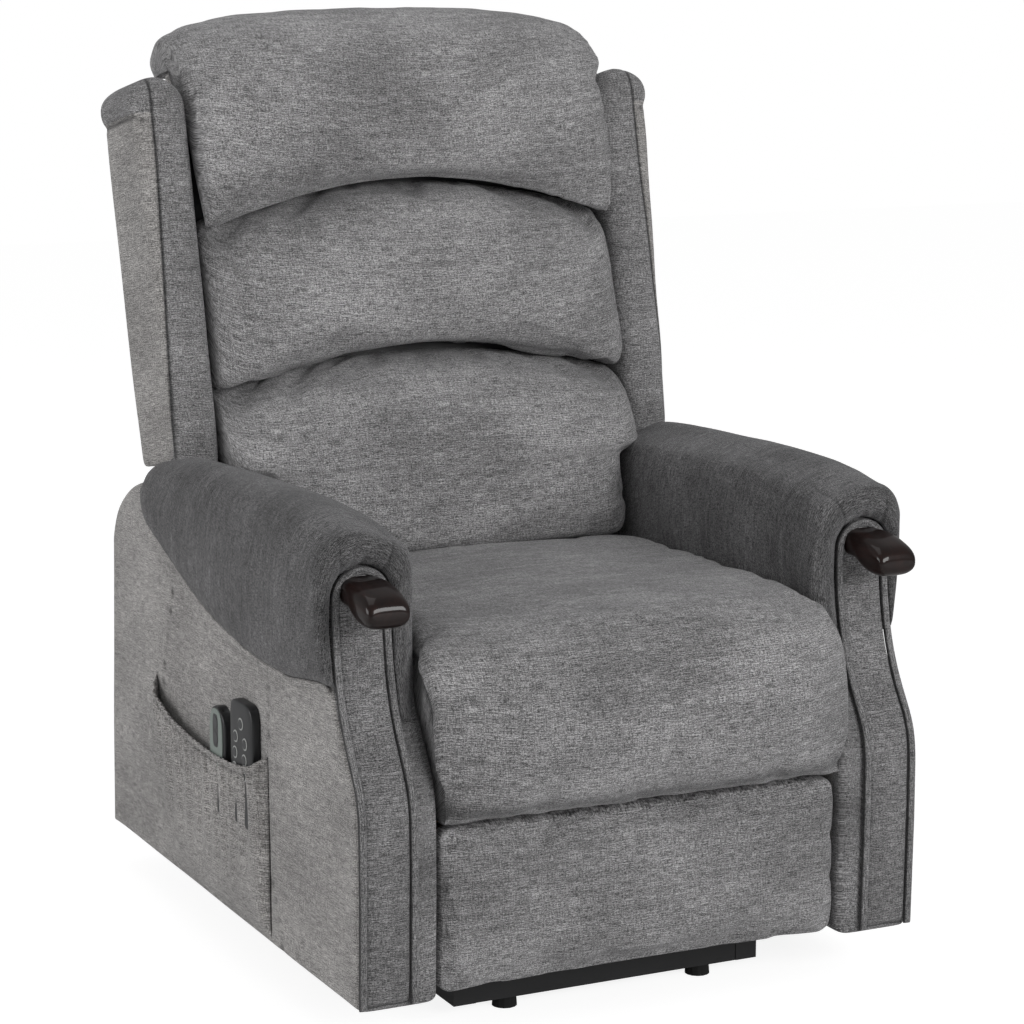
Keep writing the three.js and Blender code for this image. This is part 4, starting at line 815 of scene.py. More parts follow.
def seat_cushion():
    """The seat: at each station across, one skin from the rear over the top and down the front to the lower
    seam. The front stands furthest forward in the middle and swells past the arms. Gussets close the sides,
    and the skin is then blown up."""
    rows = 121
    half = SEAT_HIGH[0] - 9.5 * MM
    x, full, seam = end_columns(half, 37, 13 * MM, 0.07)
    s = np.clip(np.abs(x) / half, 0, 1)
    side = np.clip((s - 0.62) / 0.38, 0, 1)[None, :, None] ** 1.5
    crown = mix(smooth(0, 1, s)[None, :, None] * 0.45, 1, side * 0.55)
    mid, end = catmull(SEAT_MIDDLE, rows)[:, None], catmull(SEAT_SIDE, rows)[:, None]
    y = mix(mid[..., 0:1], end[..., 0:1], side)
    z = mix(mid[..., 1:2], end[..., 1:2], crown)
    base_y = np.linspace(0.115, -0.394, rows)[:, None, None] + 0 * y
    base = np.concatenate([base_y, np.full_like(base_y, 0.2605)], -1)
    yz = base + (np.concatenate([y, z], -1) - base) * full[None, :, None]
    swollen = 1 + 9.5 * MM / half * smooth(-1 * MM, -16 * MM, yz[..., 0] - arm_face(yz[..., 1]))
    across = (x[None, :] * swollen)[..., None]
    front = np.concatenate([across, yz], -1)
    back = np.concatenate([across, base], -1)
    q = np.linspace(0, 1, rows)[:, None]
    tight = np.where((full[None] < 0.95) | (q > 0.985) | (q < 0.12), 1.0, 0.06) + 0 * q
    face = stuffed(front, back, tight, 3.0, 12 * MM, 0.02)
    normal = outward(face, (0, -0.3, 1))
    v = run_length(front, 0)
    u = across[..., 0]
    sink = -1.0 * MM * swell(u, v, 3, 0.13)
    for start, end, width, depth in SEAT_FOLDS:
        sink = sink + depth * crease(face, start, end, width) * (face[..., 1] < -0.35)
    face = face - normal * (sink * smooth(0.9, 1.0, full)[None])[..., None]
    # painted shade: the gusset seams and the lower front seam, in the shadow over the footrest
    under = line_at(q - 0.965, 0.012) * 0.6
    seam_shade_lines = np.maximum(seam[None] + 0 * q, under + 0 * seam[None])
    flat = np.stack([u, v.mean(axis=1, keepdims=True) + 0 * u], -1)
    obj = stitched("seat_cushion_cover", face, back, flat, COVER, "seat", seam_shade_lines)
    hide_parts("seat_cushion")


FOOT_FOLDS = [
    ((-0.249, 0.10), (-0.215, 0.115), 5 * MM, 2.5 * MM),
    ((-0.249, 0.16), (-0.225, 0.15), 5 * MM, 1.5 * MM),
]


def footrest_cover():
    """The footrest panel: a full pad on the board, flat across and rounded over its edges like a stretched
    cover, which wraps round the board's lower edge."""
    low, high = FOOT_LOW - [0, 0, 8 * MM], FOOT_HIGH
    s, q = spread(81, 0.6)[None, :], spread(51, 0.6)[:, None]
    half = high[0] + 2.5 * MM
    mid_z, tall = (low[2] + high[2]) / 2, (high[2] - low[2]) / 2
    x = s * (half - end_inset(q, tall, 14 * MM) * 0.6)
    z = mid_z + q * (tall - end_inset(s, half, 14 * MM) * 0.6)
    full = rounded(s, 9) * rounded(q, 5)
    rear = high[1] - 0.5 * MM
    y = rear - (rear - low[1] - 2 * MM) * full
    front = np.stack([x, y, z], -1)
    back = np.stack([x, np.full_like(y, rear), z], -1)
    face = stuffed(front, back, np.where(full < 0.6, 1.0, 0.1), 2.0, 6 * MM, 0.02)
    face[..., 1] += 0.7 * MM * swell(x, z, 8) * smooth(0.2, 0.8, full)
    for start, end, width, depth in FOOT_FOLDS:
        face[..., 1] += depth * crease(face, start, end, width)
    obj = stitched("footrest_cover", face, back, np.stack([x, z], -1), COVER, "footrest_panel")
    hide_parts("footrest_pad")


# ------------------------------------------------------------------ arms


def rim(radius, wall):
    """A rounded rim, from the edge inwards: how far in each row lies, and how far it drops from the face. The
    first rows run straight up the edge from the middle of the thickness."""
    turn = np.linspace(PI / 2, 0, 5)
    inwards = np.concatenate([[0, 0], radius * (1 - np.sin(turn))])
    drop = np.concatenate([[wall, mix(radius, wall, 0.45)], radius * (1 - np.cos(turn))])
    return inwards, drop


def rim_rows(length, count, radius, wall):
    """Distances along a face with a rounded rim at both ends, and the drop at each."""
    inwards, drop = rim(radius, wall)
    flat = np.linspace(radius, length - radius, count)[1:-1]
    place = np.concatenate([inwards, flat, (length - inwards)[::-1]])
    return place, np.concatenate([drop, np.zeros(count - 2), drop[::-1]])


# a side's upper rear corner, depth and height; its rear edge, height and depth; the seam behind the pocket
PANEL_TOP = np.array([
    [0.180, 0.5445], [0.250, 0.5440], [0.294, 0.5410], [0.330, 0.5300], [0.355, 0.5170], [0.380, 0.5000],
    [0.396, 0.4830], [0.408, 0.4580], [0.4145, 0.4350], [0.450, 0.2500],
])
PANEL_REAR = np.array([
    [0.058, 0.440], [0.120, 0.437], [0.225, 0.431], [0.330, 0.423], [0.417, 0.416], [0.560, 0.410],
])
PANEL_SEAM = np.array([[0.280, 0.222], [0.3335, 0.206], [0.382, 0.188], [0.409, 0.179], [0.560, 0.150]])


def side_panel(side):
    """An upholstered side: a slab whose front edge follows the S line and whose top rear corner is round."""
    low_z = PANEL_LOW[2] + 0.5 * MM
    wide, radius = ARM_OUT - ARM_IN, 0.012
    wall = wide / 2
    a, drop_a = rim_rows(1.0, 90, radius, wall)
    b, drop_b = rim_rows(1.0, 60, radius, wall)
    a, b = a[None, :], b[:, None]
    z = low_z + b * (ARM_TOP - low_z) + 0 * a
    for _ in range(4):
        rear = soft_table(PANEL_REAR, z, 0.02)
        y = mix(rear, arm_face(z) + mix(5 * MM, 11 * MM, smooth(0.362, 0.374, z)), a)
        top = soft_table(PANEL_TOP, y, 0.012)
        z = mix(low_z, top, b)
    drop = np.maximum(drop_a[None, :], drop_b[:, None])
    face = 1 - np.clip(drop / radius, 0, 1)
    # on the pocket side: seams behind the pocket and up the front, dented and darkened with painted shade
    rear_seam = line_at(y - soft_table(PANEL_SEAM, z), 1.5 * MM) * smooth(0.270, 0.290, z)
    front_seam = line_at(y - mix(-0.176, -0.147, smooth(0.07, 0.16, z)), 1.6 * MM) * smooth(0.425, 0.405, z)
    seam = (rear_seam + front_seam * 0.8) * face * (side < 0)
    full = (2.0 * MM * np.sin(PI * a) * np.sin(PI * b) + 0.9 * MM * swell(y, z, 21, 0.16)) * face
    outer = ARM_OUT - drop + full - seam * 1.8 * MM
    inner = ARM_IN + np.minimum(drop * 1.25, wall)
    points, faces, edge = closed_pair(np.stack([side * outer, y, z], -1), np.stack([side * inner, y, z], -1))
    round_a, round_b = 1 - 2 * smooth(0.2, 0.8, a), 2 * smooth(0.2, 0.8, b) - 1
    near_a, near_b = drop_a[None, :] + 0 * z, drop_b[:, None] + 0 * z
    flat = np.stack([y + round_a * near_a, z + round_b * near_b], -1)
    far = np.stack([y + round_a * (wide - near_a), z + round_b * (wide - near_b)], -1)
    name = sided("side_panel", side)
    uv, seams = pair_values(flat, far, edge), pair_values(seam, 0 * seam, edge)
    obj = piece(name + "_cover", points, faces, uv, LIT_PANEL_COVER, seams, "seat")
    # the front faces take the darker copy of the chenille: painted shade on the arm's front
    obj.data.materials.append(SHADED_FRONT_COVER)
    centre = points[faces].mean(axis=1)
    shaded_front = (centre[:, 1] < arm_face(centre[:, 2]) + 20 * MM) & (np.abs(centre[:, 0]) < ARM_OUT - 4 * MM)
    obj.data.polygons.foreach_set("material_index", shaded_front.astype(np.int32))
    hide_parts(name)


def arm_strip(side):
    """The padded strip inside the double welt: a shallow crown that fills the arch, with a furrowed rim that
    is darkened with painted shade.
    """
    low = FRONT_LOW[2] + 1 * MM
    inner = ARCH_R - WELT + 1.5 * MM
    z_low = np.concatenate([[low, low + 0.3 * MM, low + 2 * MM], np.linspace(low + 8 * MM, ARCH_Z, 74)])
    turn = np.linspace(0, PI / 2, 16)[1:]
    z = np.concatenate([z_low, ARCH_Z + inner * np.sin(turn)])[:, None]
    half = np.concatenate([np.full(len(z_low), inner), inner * np.cos(turn)])[:, None]
    half = np.maximum(half, 0.4 * MM)
    s = spread(26, 0.5)[None, :]
    x, z = ARCH_X + s * half, z + 0 * s
    rise = rounded(s, 3.0) * np.clip(half / (0.4 * inner), 0, 1) * smooth(low - 1 * MM, low + 12 * MM, z)
    y = arm_face(z) + 5.5 * MM - 7.5 * MM * rise + 0.8 * MM * swell(x, z, 31, 0.05)
    front, back = (np.stack([side * x, depth, z], -1) for depth in (y, arm_face(z) + 9 * MM))
    # painted shade in the furrow round the rim, where the strip sinks behind the welt
    seam = 1 - smooth(0.0, 0.5, rise)
    name = sided("arm_front", side)
    flat = np.stack([x, z], -1)
    obj = stitched(name + "_strip", front, back, flat, SHADED_FRONT_COVER, "seat", seam, through=True)
    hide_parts(name)


def arch_line(low, count, radius):
    """The line round the arm's front, on the S line: up one leg, over the arch and down the other."""
    leg = np.linspace(low, ARCH_Z, count)
    turn = np.linspace(0, PI, count)[1:-1]
    outer, inner = np.full(count, ARCH_X + radius), np.full(count, ARCH_X - radius)
    x = np.concatenate([outer, ARCH_X + radius * np.cos(turn), inner])
    z = np.concatenate([leg, ARCH_Z + radius * np.sin(turn), leg[::-1]])
    return np.stack([x, arm_face(z), z], -1)


def face_frames(line):
    """Across-direction of a welt on the arm's front: square to its way, in the plane of the S line."""
    along = np.gradient(line, axis=0)
    along /= np.linalg.norm(along, axis=1, keepdims=True)
    slope = np.interp(line[:, 2], S_LINE[:, 0], np.gradient(arm_face(S_LINE[:, 0]), S_LINE[:, 0]))
    out = np.stack([np.zeros(len(line)), -np.ones(len(line)), slope], -1)
    return np.cross(out, along)


def arm_welt(side):
    """The double welt: a flattened roll round the whole front of the arm, with painted shade along either
    flank.
    """
    low = FRONT_LOW[2] + 1.5 * MM
    line = even(arch_line(low, 90, ARCH_R - WELT / 2), 190)
    line[:, 1] -= 0.2 * MM
    sides = 16
    rings = welt_rings(line, WELT - 0.8 * MM, 8.0 * MM, face_frames(line), sides, 2.6)
    rings[..., 0] *= side
    turn = np.arange(sides) / sides * 2 * PI
    # painted shade along both flanks of the welt, where it meets the strip and the arm
    flank_shade = np.tile(smooth(0.70, 1.0, np.abs(np.cos(turn))), len(rings))
    name = sided("arm_welt", side)
    ring_piece(name, rings, SHADED_FRONT_COVER, "seat", flank_shade)


# the arm pad: depth, crest over the panel, drape below the panel's top
PAD_ROWS = np.array([
    [-0.356, 0.031, 0.132], [-0.321, 0.0400, 0.132], [-0.266, 0.050, 0.139], [-0.223, 0.054, 0.146],
    [-0.130, 0.0555, 0.146], [-0.082, 0.055, 0.142], [-0.033, 0.053, 0.135], [0.020, 0.0515, 0.126],
    [0.069, 0.050, 0.114], [0.115, 0.048, 0.099], [0.164, 0.044, 0.082], [0.200, 0.039, 0.067],
    [0.229, 0.033, 0.054], [0.252, 0.026, 0.040], [0.262, 0.020, 0.022], [0.268, 0.012, 0.002],
])


def pad_section(y, counts):
    """The pad's outer skin at depth y, from the drape's outer edge over the crest to the inner side."""
    crest = ARM_TOP + soft_table(PAD_ROWS[:, [0, 1]], y, 0.006)
    low = ARM_TOP - soft_table(PAD_ROWS[:, [0, 2]], y, 0.006)
    out = PAD_HIGH[0] - 1.0 * MM - 3 * MM * smooth(-0.256, -0.316, y) - 11 * MM * smooth(0.225, 0.268, y)
    inner = ARM_IN - 1.2 * MM
    low_in = mix(0.366, 0.425, smooth(-0.328, -0.256, y))
    bend = crest - 30 * MM
    shoulder, inner_top = [out - 2.5 * MM, bend], [inner + 0.5 * MM, crest - 42 * MM]
    drape = [
        [ARM_OUT + 0.5 * MM, low], [ARM_OUT + 9 * MM, low + 4 * MM], [out - 5 * MM, mix(bend, low, 0.82)],
        [out - 1 * MM, mix(bend, low, 0.55)], [out, mix(bend, low, 0.25)], shoulder,
    ]
    over = [
        shoulder, [out - 11 * MM, crest - 14 * MM], [ARM_OUT - 6 * MM, crest - 4 * MM],
        [ARM_OUT - 29 * MM, crest - 0.5 * MM], [ARM_OUT - 57 * MM, crest - 9 * MM],
        [inner + 10 * MM, crest - 22 * MM], inner_top,
    ]
    inside = [inner_top, [inner - 0.5 * MM, mix(crest, low_in, 0.5)], [inner, low_in]]
    first, second, third = (catmull(leg, count) for leg, count in zip((drape, over, inside), counts))
    return np.vstack([first, second[1:], third[1:]])


def arm_pad(side):
    """The arm pad: sections draped over the arm from end to end, and a rolled front that turns in to the
    arch. Two darts run from the arch to the top corners, with small gathers between them."""
    counts = (30, 42, 30)
    rear_end = [0.230, 0.240, 0.248, 0.255, 0.2605, 0.2645, 0.267]
    body = []
    for y in np.concatenate([np.linspace(-0.316, 0.219, 70), rear_end]):
        section = pad_section(y, counts)
        body.append(np.column_stack([section[:, 0], np.full(len(section), y), section[:, 1]]))
    first = body[0]
    radius = ARCH_R + 0.6 * MM
    turn = np.linspace(0, PI, counts[1])
    up = np.linspace(first[0, 2], ARCH_Z, counts[0])
    down = np.linspace(ARCH_Z, first[-1, 2], counts[2])
    legs = np.full(counts[0], radius), np.full(counts[2] - 1, -radius)
    across = np.concatenate([legs[0], radius * np.cos(turn[1:]), legs[1]])
    height = np.concatenate([up, ARCH_Z + radius * np.sin(turn[1:]), down[1:]])
    start = np.stack([ARCH_X + across, arm_face(height) + 2.5 * MM, height], -1)
    reach = mix(0.022, 0.032, smooth(ARCH_Z - 0.05, ARCH_Z + 0.02, height))
    roll = np.linspace(-PI / 3, PI / 2, 19)[:-1]
    front = []
    for p in roll:
        share = (math.sin(p) - math.sin(roll[0])) / (1 - math.sin(roll[0]))
        row = mix(start, first, share)
        lag = (start[:, 1] - first[:, 1] + reach * math.cos(roll[0]) ** 0.6) * (1 - share)
        row[:, 1] = first[:, 1] - reach * math.cos(p) ** 0.6 + lag
        front.append(row)
    skin = np.stack(front + body)
    count = len(front)
    c = np.concatenate([np.linspace(0, 1, count), np.ones(len(body))])[:, None]
    past = np.concatenate([np.zeros(count), np.arange(len(body))])[:, None]
    at = np.linspace(0, 1, skin.shape[1])[None, :]
    angle = np.concatenate([np.zeros(counts[0]), turn[1:], np.full(counts[2] - 1, PI)])[None, :]
    on_arch = (angle > 0.02) & (angle < PI - 0.02)
    normal = outward(skin, (0, -0.2, 1))
    u = run_length(skin, 1)
    v = run_length(skin, 0)
    sink = -0.9 * MM * swell(u, v + side, 41, 0.11)
    # seam: painted shade in the darts, where the front roll meets the strip and along the drape's lower edge
    seam = np.zeros_like(sink)
    for dart_angle in (0.80, 2.32):
        far = (angle - dart_angle) * mix(radius, 2.2 * radius, c)
        dart = line_at(far, 2.2 * MM) * on_arch * smooth(7, 0, past) * smooth(0.0, 0.06, c)
        sink = sink + 2.8 * MM * dart
        seam = np.maximum(seam, 0.6 * dart)
    gathers = 0.5 + 0.5 * np.cos((angle - PI / 2) * 17)
    window = line_at(angle - PI / 2, 0.42) * smooth(0.62, 0.08, c) * smooth(0.0, 0.07, c) * on_arch
    sink = sink + 2.6 * MM * gathers * window
    seam = np.maximum(seam, smooth(0.10, 0.0, c) * 0.8)
    seam = np.maximum(seam, line_at(u, 3.0 * MM) * 0.6)
    ends = smooth(0.0, 0.10, at) * smooth(1.0, 0.95, at)
    skin = skin - normal * (sink * np.where(c < 1, 1, ends))[..., None]
    thick = 9 * MM * smooth(0.0, 0.45, c) * smooth(0.0, 0.08, at) * smooth(1.0, 0.95, at)
    thick = thick * np.concatenate([np.ones(len(skin) - 6), np.linspace(0.8, 0.0, 6)])[:, None]
    back = skin - normal * (thick + 1.5 * MM)[..., None]
    skin[..., 0] *= side
    back[..., 0] *= side
    name = sided("arm_pad", side)
    obj = stitched(name + "_cover", skin, back, np.stack([u, v], -1), SHADED_PAD_COVER, "seat", seam)
    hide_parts(name)


def pad_flange(side):
    """The sewn edge under the drape: a flat welt along the drape's lower edge, thinning towards the rear."""
    count, sides = 130, 12
    y = np.linspace(-0.335, 0.246, count)
    low = ARM_TOP - soft_table(PAD_ROWS[:, [0, 2]], y, 0.006)
    line = even(np.stack([np.full_like(y, ARM_OUT + 3.0 * MM), y, low - 4.6 * MM], -1), count)
    share = np.linspace(0, 1, count)
    ends = smooth(-0.02, 0.02, share) * mix(1, 0.5, smooth(0.97, 1, share))
    wide = mix(10 * MM, 4.0 * MM, smooth(0.35, 0.9, share)) * ends
    rings = welt_rings(line, wide, 5.0 * MM, np.tile([0.0, 0.0, 1.0], (count, 1)), sides, 2.6)
    rings[..., 0] *= side
    turn = np.arange(sides) / sides * 2 * PI
    # painted shade along both flanks: the dark line between the flange and the panel
    flank_shade = np.tile(smooth(0.80, 1.0, np.abs(np.cos(turn))), len(rings))
    name = sided("pad_flange", side)
    ring_piece(name, rings, LIT_PANEL_COVER, "seat", flank_shade)


# the hand knob: depth, height of its middle, half width, half height
KNOB_ROWS = np.array([
    [-0.3350, 0.5165, 0.0250, 0.0165], [-0.3470, 0.5163, 0.0255, 0.0165], [-0.3580, 0.5153, 0.0262, 0.0175],
    [-0.3680, 0.5128, 0.0272, 0.0195], [-0.3800, 0.5093, 0.0275, 0.0208], [-0.3920, 0.5068, 0.0274, 0.0200],
    [-0.4030, 0.5050, 0.0268, 0.0178], [-0.4095, 0.5042, 0.0256, 0.0145], [-0.4135, 0.5038, 0.0236, 0.0102],
    [-0.4152, 0.5036, 0.0205, 0.0050],
])


def hand_knob(side):
    """A wooden grip: a wide bar out of the arch whose side view bends down to a blunt, rounded end."""
    at = catmull(KNOB_ROWS, 70)
    c, s = superellipse(56, 3.6)[0], superellipse(56, 2.8)[1]
    x = ARCH_X + at[:, 2:3] * c[None]
    z = at[:, 1:2] + at[:, 3:4] * s[None]
    y = at[:, 0:1] + 0 * x
    name = sided("hand_knob", side)
    obj = ring_piece(name + "_turned", np.stack([side * x, y, z], -1), WOOD, "seat")
    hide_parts(name)


# ------------------------------------------------------------------ pocket and handsets


# the pocket's mouth and foot: depth, height
MOUTH = np.array([
    [-0.147, 0.292], [-0.1415, 0.284], [-0.135, 0.278], [-0.122, 0.273], [-0.110, 0.270], [-0.062, 0.263],
    [-0.010, 0.2605], [0.023, 0.2605], [0.082, 0.263], [0.147, 0.270], [0.176, 0.279], [0.213, 0.287],
    [0.232, 0.296], [0.242, 0.306],
])
FOOT = np.array([
    [-0.147, 0.070], [-0.135, 0.067], [0.100, 0.067], [0.160, 0.068], [0.185, 0.080], [0.200, 0.105],
    [0.212, 0.140], [0.222, 0.190], [0.232, 0.240], [0.242, 0.286],
])


def pocket():
    """The side pocket: one skin from the panel out over the handsets, gathered under its elastic mouth."""
    y0, y1 = POCKET_LOW[1] + 0.5 * MM, POCKET_HIGH[1] - 0.5 * MM
    a = (spread(141, 0.3)[None, :] + 1) / 2
    b = np.linspace(0, 1, 70)[:, None]
    y = mix(y0, y1, a) + 0 * b
    top, low = soft_table(MOUTH, y, 0.006), soft_table(FOOT, y, 0.010)
    z = mix(low, top, b)
    edge_in = np.minimum(np.clip((y - y0) / 0.022, 0, 1), np.clip((y1 - y) / 0.060, 0, 1))
    across = 1 - (1 - edge_in) ** 3
    up = 1 - (1 - np.clip(b * (top - low) / 0.055, 0, 1)) ** 3
    depth = 16.5 * MM * across * up * mix(0.82, 1.0, smooth(0.3, 1.0, b))
    under = top - z
    folds = np.sin(y * 2 * PI / 0.0125 + 1.3 * np.sin(y * 40)) * smooth(0.075, 0.004, under) * 2.0 * MM
    long_folds = np.sin(y * 2 * PI / 0.034 + 2.0 * np.sin(y * 17) + 1.5 * b) * smooth(0.05, 0.75, b)
    long_folds = long_folds * smooth(1.02, 0.85, b) * 2.6 * MM
    hem_line = line_at(under - 11 * MM, 1.6 * MM)
    skin_x = PANEL_HIGH[0] + 1.0 * MM + depth + (folds + long_folds) * across - hem_line * 1.1 * MM * across
    skin_x = skin_x + 1.6 * MM * across * line_at(under, 4 * MM)
    front = np.stack([-skin_x, y, z], -1)
    back = front.copy()
    back[..., 0] += 2.4 * MM * np.clip(across * up * 3, 0.25, 1)
    flat = np.stack([y, z], -1)
    # painted shade under the hem's fold and along the pocket's front edge
    seam = np.maximum(hem_line * 0.6, line_at(y - y0, 1.6 * MM) * 0.7)
    obj = stitched("side_pocket_cloth", front, back, flat, LIT_PANEL_COVER, "seat", seam, through=True)
    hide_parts("side_pocket")


def handset(node, body, lean, plate):
    """A handset: a rounded slab with soft edges, square at its foot and round at its head, where it draws in
    by `lean` of the corner. `plate` sets a pale oval round the keys, over a hollow that they press into."""
    low, high = node_box(node)
    s, q = spread(41, 0.7)[None, :], spread(61, 0.7)[:, None]
    mid, half = (low + high) / 2, (high - low) / 2
    y = mid[1] + s * (half[1] - end_inset(q, half[2], 20 * MM) * smooth(-0.2, 0.2, q) * lean)
    z = mid[2] + q * (half[2] - end_inset(s, half[1], 20 * MM) * smooth(-0.2, 0.2, q) * 0.3)
    full = rounded(s, 5) * rounded(q, 14)
    out = low[0] * full + mid[0] * (1 - full)
    if plate:
        out = out + 3.4 * MM * smooth(0.60, 0.45, np.abs(s)) * smooth(0.42, 0.32, np.abs(q - 0.45))
    inner = high[0] * full + mid[0] * (1 - full)
    front, back = np.stack([out, y, z], -1), np.stack([inner, y, z], -1)
    obj = stitched(node + "_shell", front, back, front[..., 1:], SHELL_PLASTIC, body)
    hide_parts(node)
    if plate:
        pale, dark = (low[0] - 0.9 * MM, mid[1], 0.277), (low[0] - 1.0 * MM, mid[1], 0.288)
        oval(node + "_plate", pale, (21 * MM, 38 * MM), 2.8, PLATE_PLASTIC, body)
        oval(node + "_recess", dark, (9.5 * MM, 21.5 * MM), 4.0, SHELL_PLASTIC, body)


def oval(name, centre, radii, power, material, body):
    """A thin plate whose outline is a superellipse: rings from a flat face round its edge to the back."""
    c, s = superellipse(48, power)
    rings = []
    for share, depth in ((0.90, 0.0), (0.955, 0.1), (0.985, 0.35), (1.0, 0.8), (1.0, 2.2), (0.94, 2.6)):
        x = np.full(len(c), centre[0] + depth * MM)
        rings.append(np.stack([x, centre[1] + c * radii[0] * share, centre[2] + s * radii[1] * share], -1))
    obj = ring_piece(name, np.stack(rings), material, body)


def key_ring(node, body):
    """A pale ring round a key: a torus about the key's middle, flattened against the handset."""
    low, high = node_box(node)
    mid, radius = (low + high) / 2, (high[1] - low[1]) / 2 + 0.9 * MM
    count, sides = 36, 10
    first, second = np.arange(count)[:, None], np.arange(sides)[None, :]
    turn, tube = first / count * 2 * PI, second / sides * 2 * PI
    far = radius + 1.0 * MM * np.cos(tube)
    x = high[0] - 1.9 * MM - 0.7 * MM * np.sin(tube) + 0 * turn
    grid = np.stack([x, mid[1] + far * np.cos(turn), mid[2] + far * np.sin(turn)], -1)
    after, beside = (first + 1) % count * sides, (second + 1) % sides
    corners = (first * sides + second, first * sides + beside, after + beside, after + second)
    faces = np.stack(np.broadcast_arrays(*corners), -1).reshape(-1, 4)
    points = grid.reshape(-1, 3)
    if volume_of(points, faces) < 0:
        faces = faces[:, ::-1]
    obj = piece(node + "_ring", points, faces, points[:, 1:], RING_PLASTIC, None, body)


def dress_nodes():
    """Finishes of the frame's own pieces, each found by the name of its slot's material."""
    finishes = {
        "frame_steel": STEEL, "rod_steel": ROD, "foot_rubber": RUBBER, "deck_wood": TIMBER,
        "motor_plastic": MOTOR, "handset_plastic": SHELL_PLASTIC, "key_plastic": KEY_PLASTIC,
        # the frame's side fabric takes the lighter copy of the chenille: painted light
        "knob_wood": WOOD, "fabric": COVER, "side_fabric": LIT_PANEL_COVER,
    }
    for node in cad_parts.values():
        for slot in node.material_slots:
            key = next((k for k in finishes if slot.material and slot.material.name.startswith(k)), None)
            slot.material = finishes[key] if key else STEEL


# ------------------------------------------------------------------ stage, light and camera


def plain_world(tree, seen, lit):
    """Nodes that show one brightness to the camera and give another one as light."""
    out = tree.nodes.new("ShaderNodeOutputWorld")
    mixer = tree.nodes.new("ShaderNodeMixShader")
    path = tree.nodes.new("ShaderNodeLightPath")
    tree.links.new(path.outputs["Is Camera Ray"], mixer.inputs[0])
    for slot, strength in ((1, lit), (2, seen)):
        node = tree.nodes.new("ShaderNodeBackground")
        node.inputs[0].default_value = (1, 1, 1, 1)
        node.inputs[1].default_value = strength
        tree.links.new(node.outputs[0], mixer.inputs[slot])
    tree.links.new(mixer.outputs[0], out.inputs[0])


def white_paper():
    """A floor that the camera sees as white paper with a trace of shadow, and light as plain matt white."""
    paper = bpy.data.materials.new("white_paper")
    paper.use_nodes = True
    tree = paper.node_tree
    tree.nodes.clear()
    kinds = ("OutputMaterial", "Emission", "AddShader", "MixShader", "LightPath")
    out, glow, both, choice, path = (tree.nodes.new("ShaderNode" + kind) for kind in kinds)
    plain, faint = (tree.nodes.new("ShaderNodeBsdfDiffuse") for _ in range(2))
    plain.inputs[0].default_value = (0.80, 0.80, 0.80, 1)
    faint.inputs[0].default_value = (0.36, 0.36, 0.36, 1)
    glow.inputs[0].default_value = (1, 1, 1, 1)
    glow.inputs[1].default_value = 0.86
    tree.links.new(faint.outputs[0], both.inputs[0])
    tree.links.new(glow.outputs[0], both.inputs[1])
    tree.links.new(path.outputs["Is Camera Ray"], choice.inputs[0])
    tree.links.new(plain.outputs[0], choice.inputs[1])
    tree.links.new(both.outputs[0], choice.inputs[2])
    tree.links.new(choice.outputs[0], out.inputs[0])
    return paper


def lamp(name, place, aim, size, power):
    """A rectangular soft lamp at `place` that shines at `aim`."""
    data = bpy.data.lights.new(name, "AREA")
    data.shape = "RECTANGLE"
    data.size, data.size_y = size
    data.energy = power
    obj = bpy.data.objects.new(name, data)
    bpy.context.scene.collection.objects.link(obj)
    obj.location = place
    obj.rotation_euler = (Vector(aim) - Vector(place)).to_track_quat("-Z", "Y").to_euler()


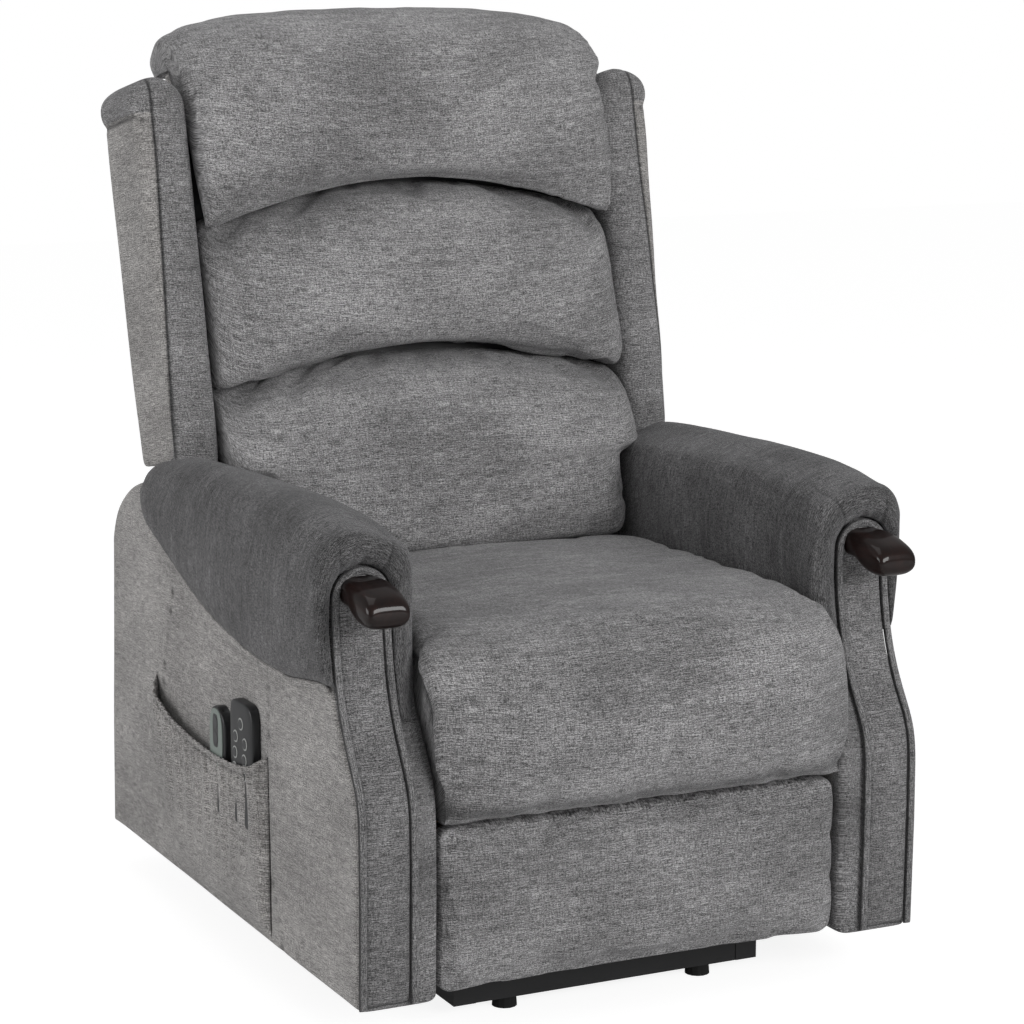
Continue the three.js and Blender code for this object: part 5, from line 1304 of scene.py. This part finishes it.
def stage():
    """A pale floor that reads as white paper, a white world, two large soft lamps in front and one above."""
    world = bpy.data.worlds.new("studio")
    world.use_nodes = True
    world.node_tree.nodes.clear()
    plain_world(world.node_tree, 1.0, 0.36)
    bpy.context.scene.world = world
    mesh = bpy.data.meshes.new("floor")
    mesh.from_pydata([(-9, -9, 0), (9, -9, 0), (9, 9, 0), (-9, 9, 0)], [], [(0, 1, 2, 3)])
    mesh.materials.append(white_paper())
    floor = bpy.data.objects.new("floor", mesh)
    bpy.context.scene.collection.objects.link(floor)
    lamp("key", (1.1, -3.8, 1.85), (0, 0, 0.6), (2.0, 1.5), 84)
    lamp("fill", (-3.7, 0.2, 1.3), (0, 0, 0.5), (1.8, 1.8), 44)
    lamp("top", (-0.6, 0.3, 3.4), (0, 0, 0.5), (2.0, 1.8), 9)


def camera():
    """The photograph's camera, whose focal length is 3000 of the picture's 1024 pixels across."""
    data = bpy.data.cameras.new("camera")
    data.sensor_width = 36.0
    data.lens = 3000.0 / 1024.0 * 36.0
    data.clip_end = 60
    obj = bpy.data.objects.new("camera", data)
    bpy.context.scene.collection.objects.link(obj)
    obj.location = (-1.570, -3.284, 1.196)
    azimuth, elevation = math.radians(-25.9), math.radians(10.5)
    obj.rotation_euler = (PI / 2 - elevation, 0, azimuth)
    bpy.context.scene.camera = obj


# ------------------------------------------------------------------ the chair

camera()
stage()
dress_nodes()
pillow("lumbar_pillow", LUMBAR_MIDDLE, LUMBAR_SIDE, [], (2.0, 2.0), lumbar_half, 8 * MM, 2, LUMBAR_FOLDS)
pillow("middle_pillow", MIDDLE_MIDDLE, MIDDLE_SIDE, [], (1.7, 2.0), middle_half, 16 * MM, 4, MIDDLE_FOLDS)
pillow(
    "head_pillow", HEAD_MIDDLE, HEAD_SIDE, CROWN, (1.9, 3.2), head_half, 18 * MM, 5, HEAD_FOLDS,
    corner_gathers,
)
seat_cushion()
footrest_cover()
for side in (-1, 1):
    wing(side)
    side_panel(side)
    arm_strip(side)
    arm_welt(side)
    arm_pad(side)
    pad_flange(side)
    hand_knob(side)
back_shell()
pocket()
handset("lift_handset", "lift_handset", 0.9, True)
handset("massage_handset", "massage_handset", 0.5, False)
for key in ("power", "mode", "speed", "zone_a", "zone_b", "heat", "timer"):
    key_ring("massage_button_" + key, "massage_handset")

bpy.context.scene.view_settings.view_transform = "Standard"
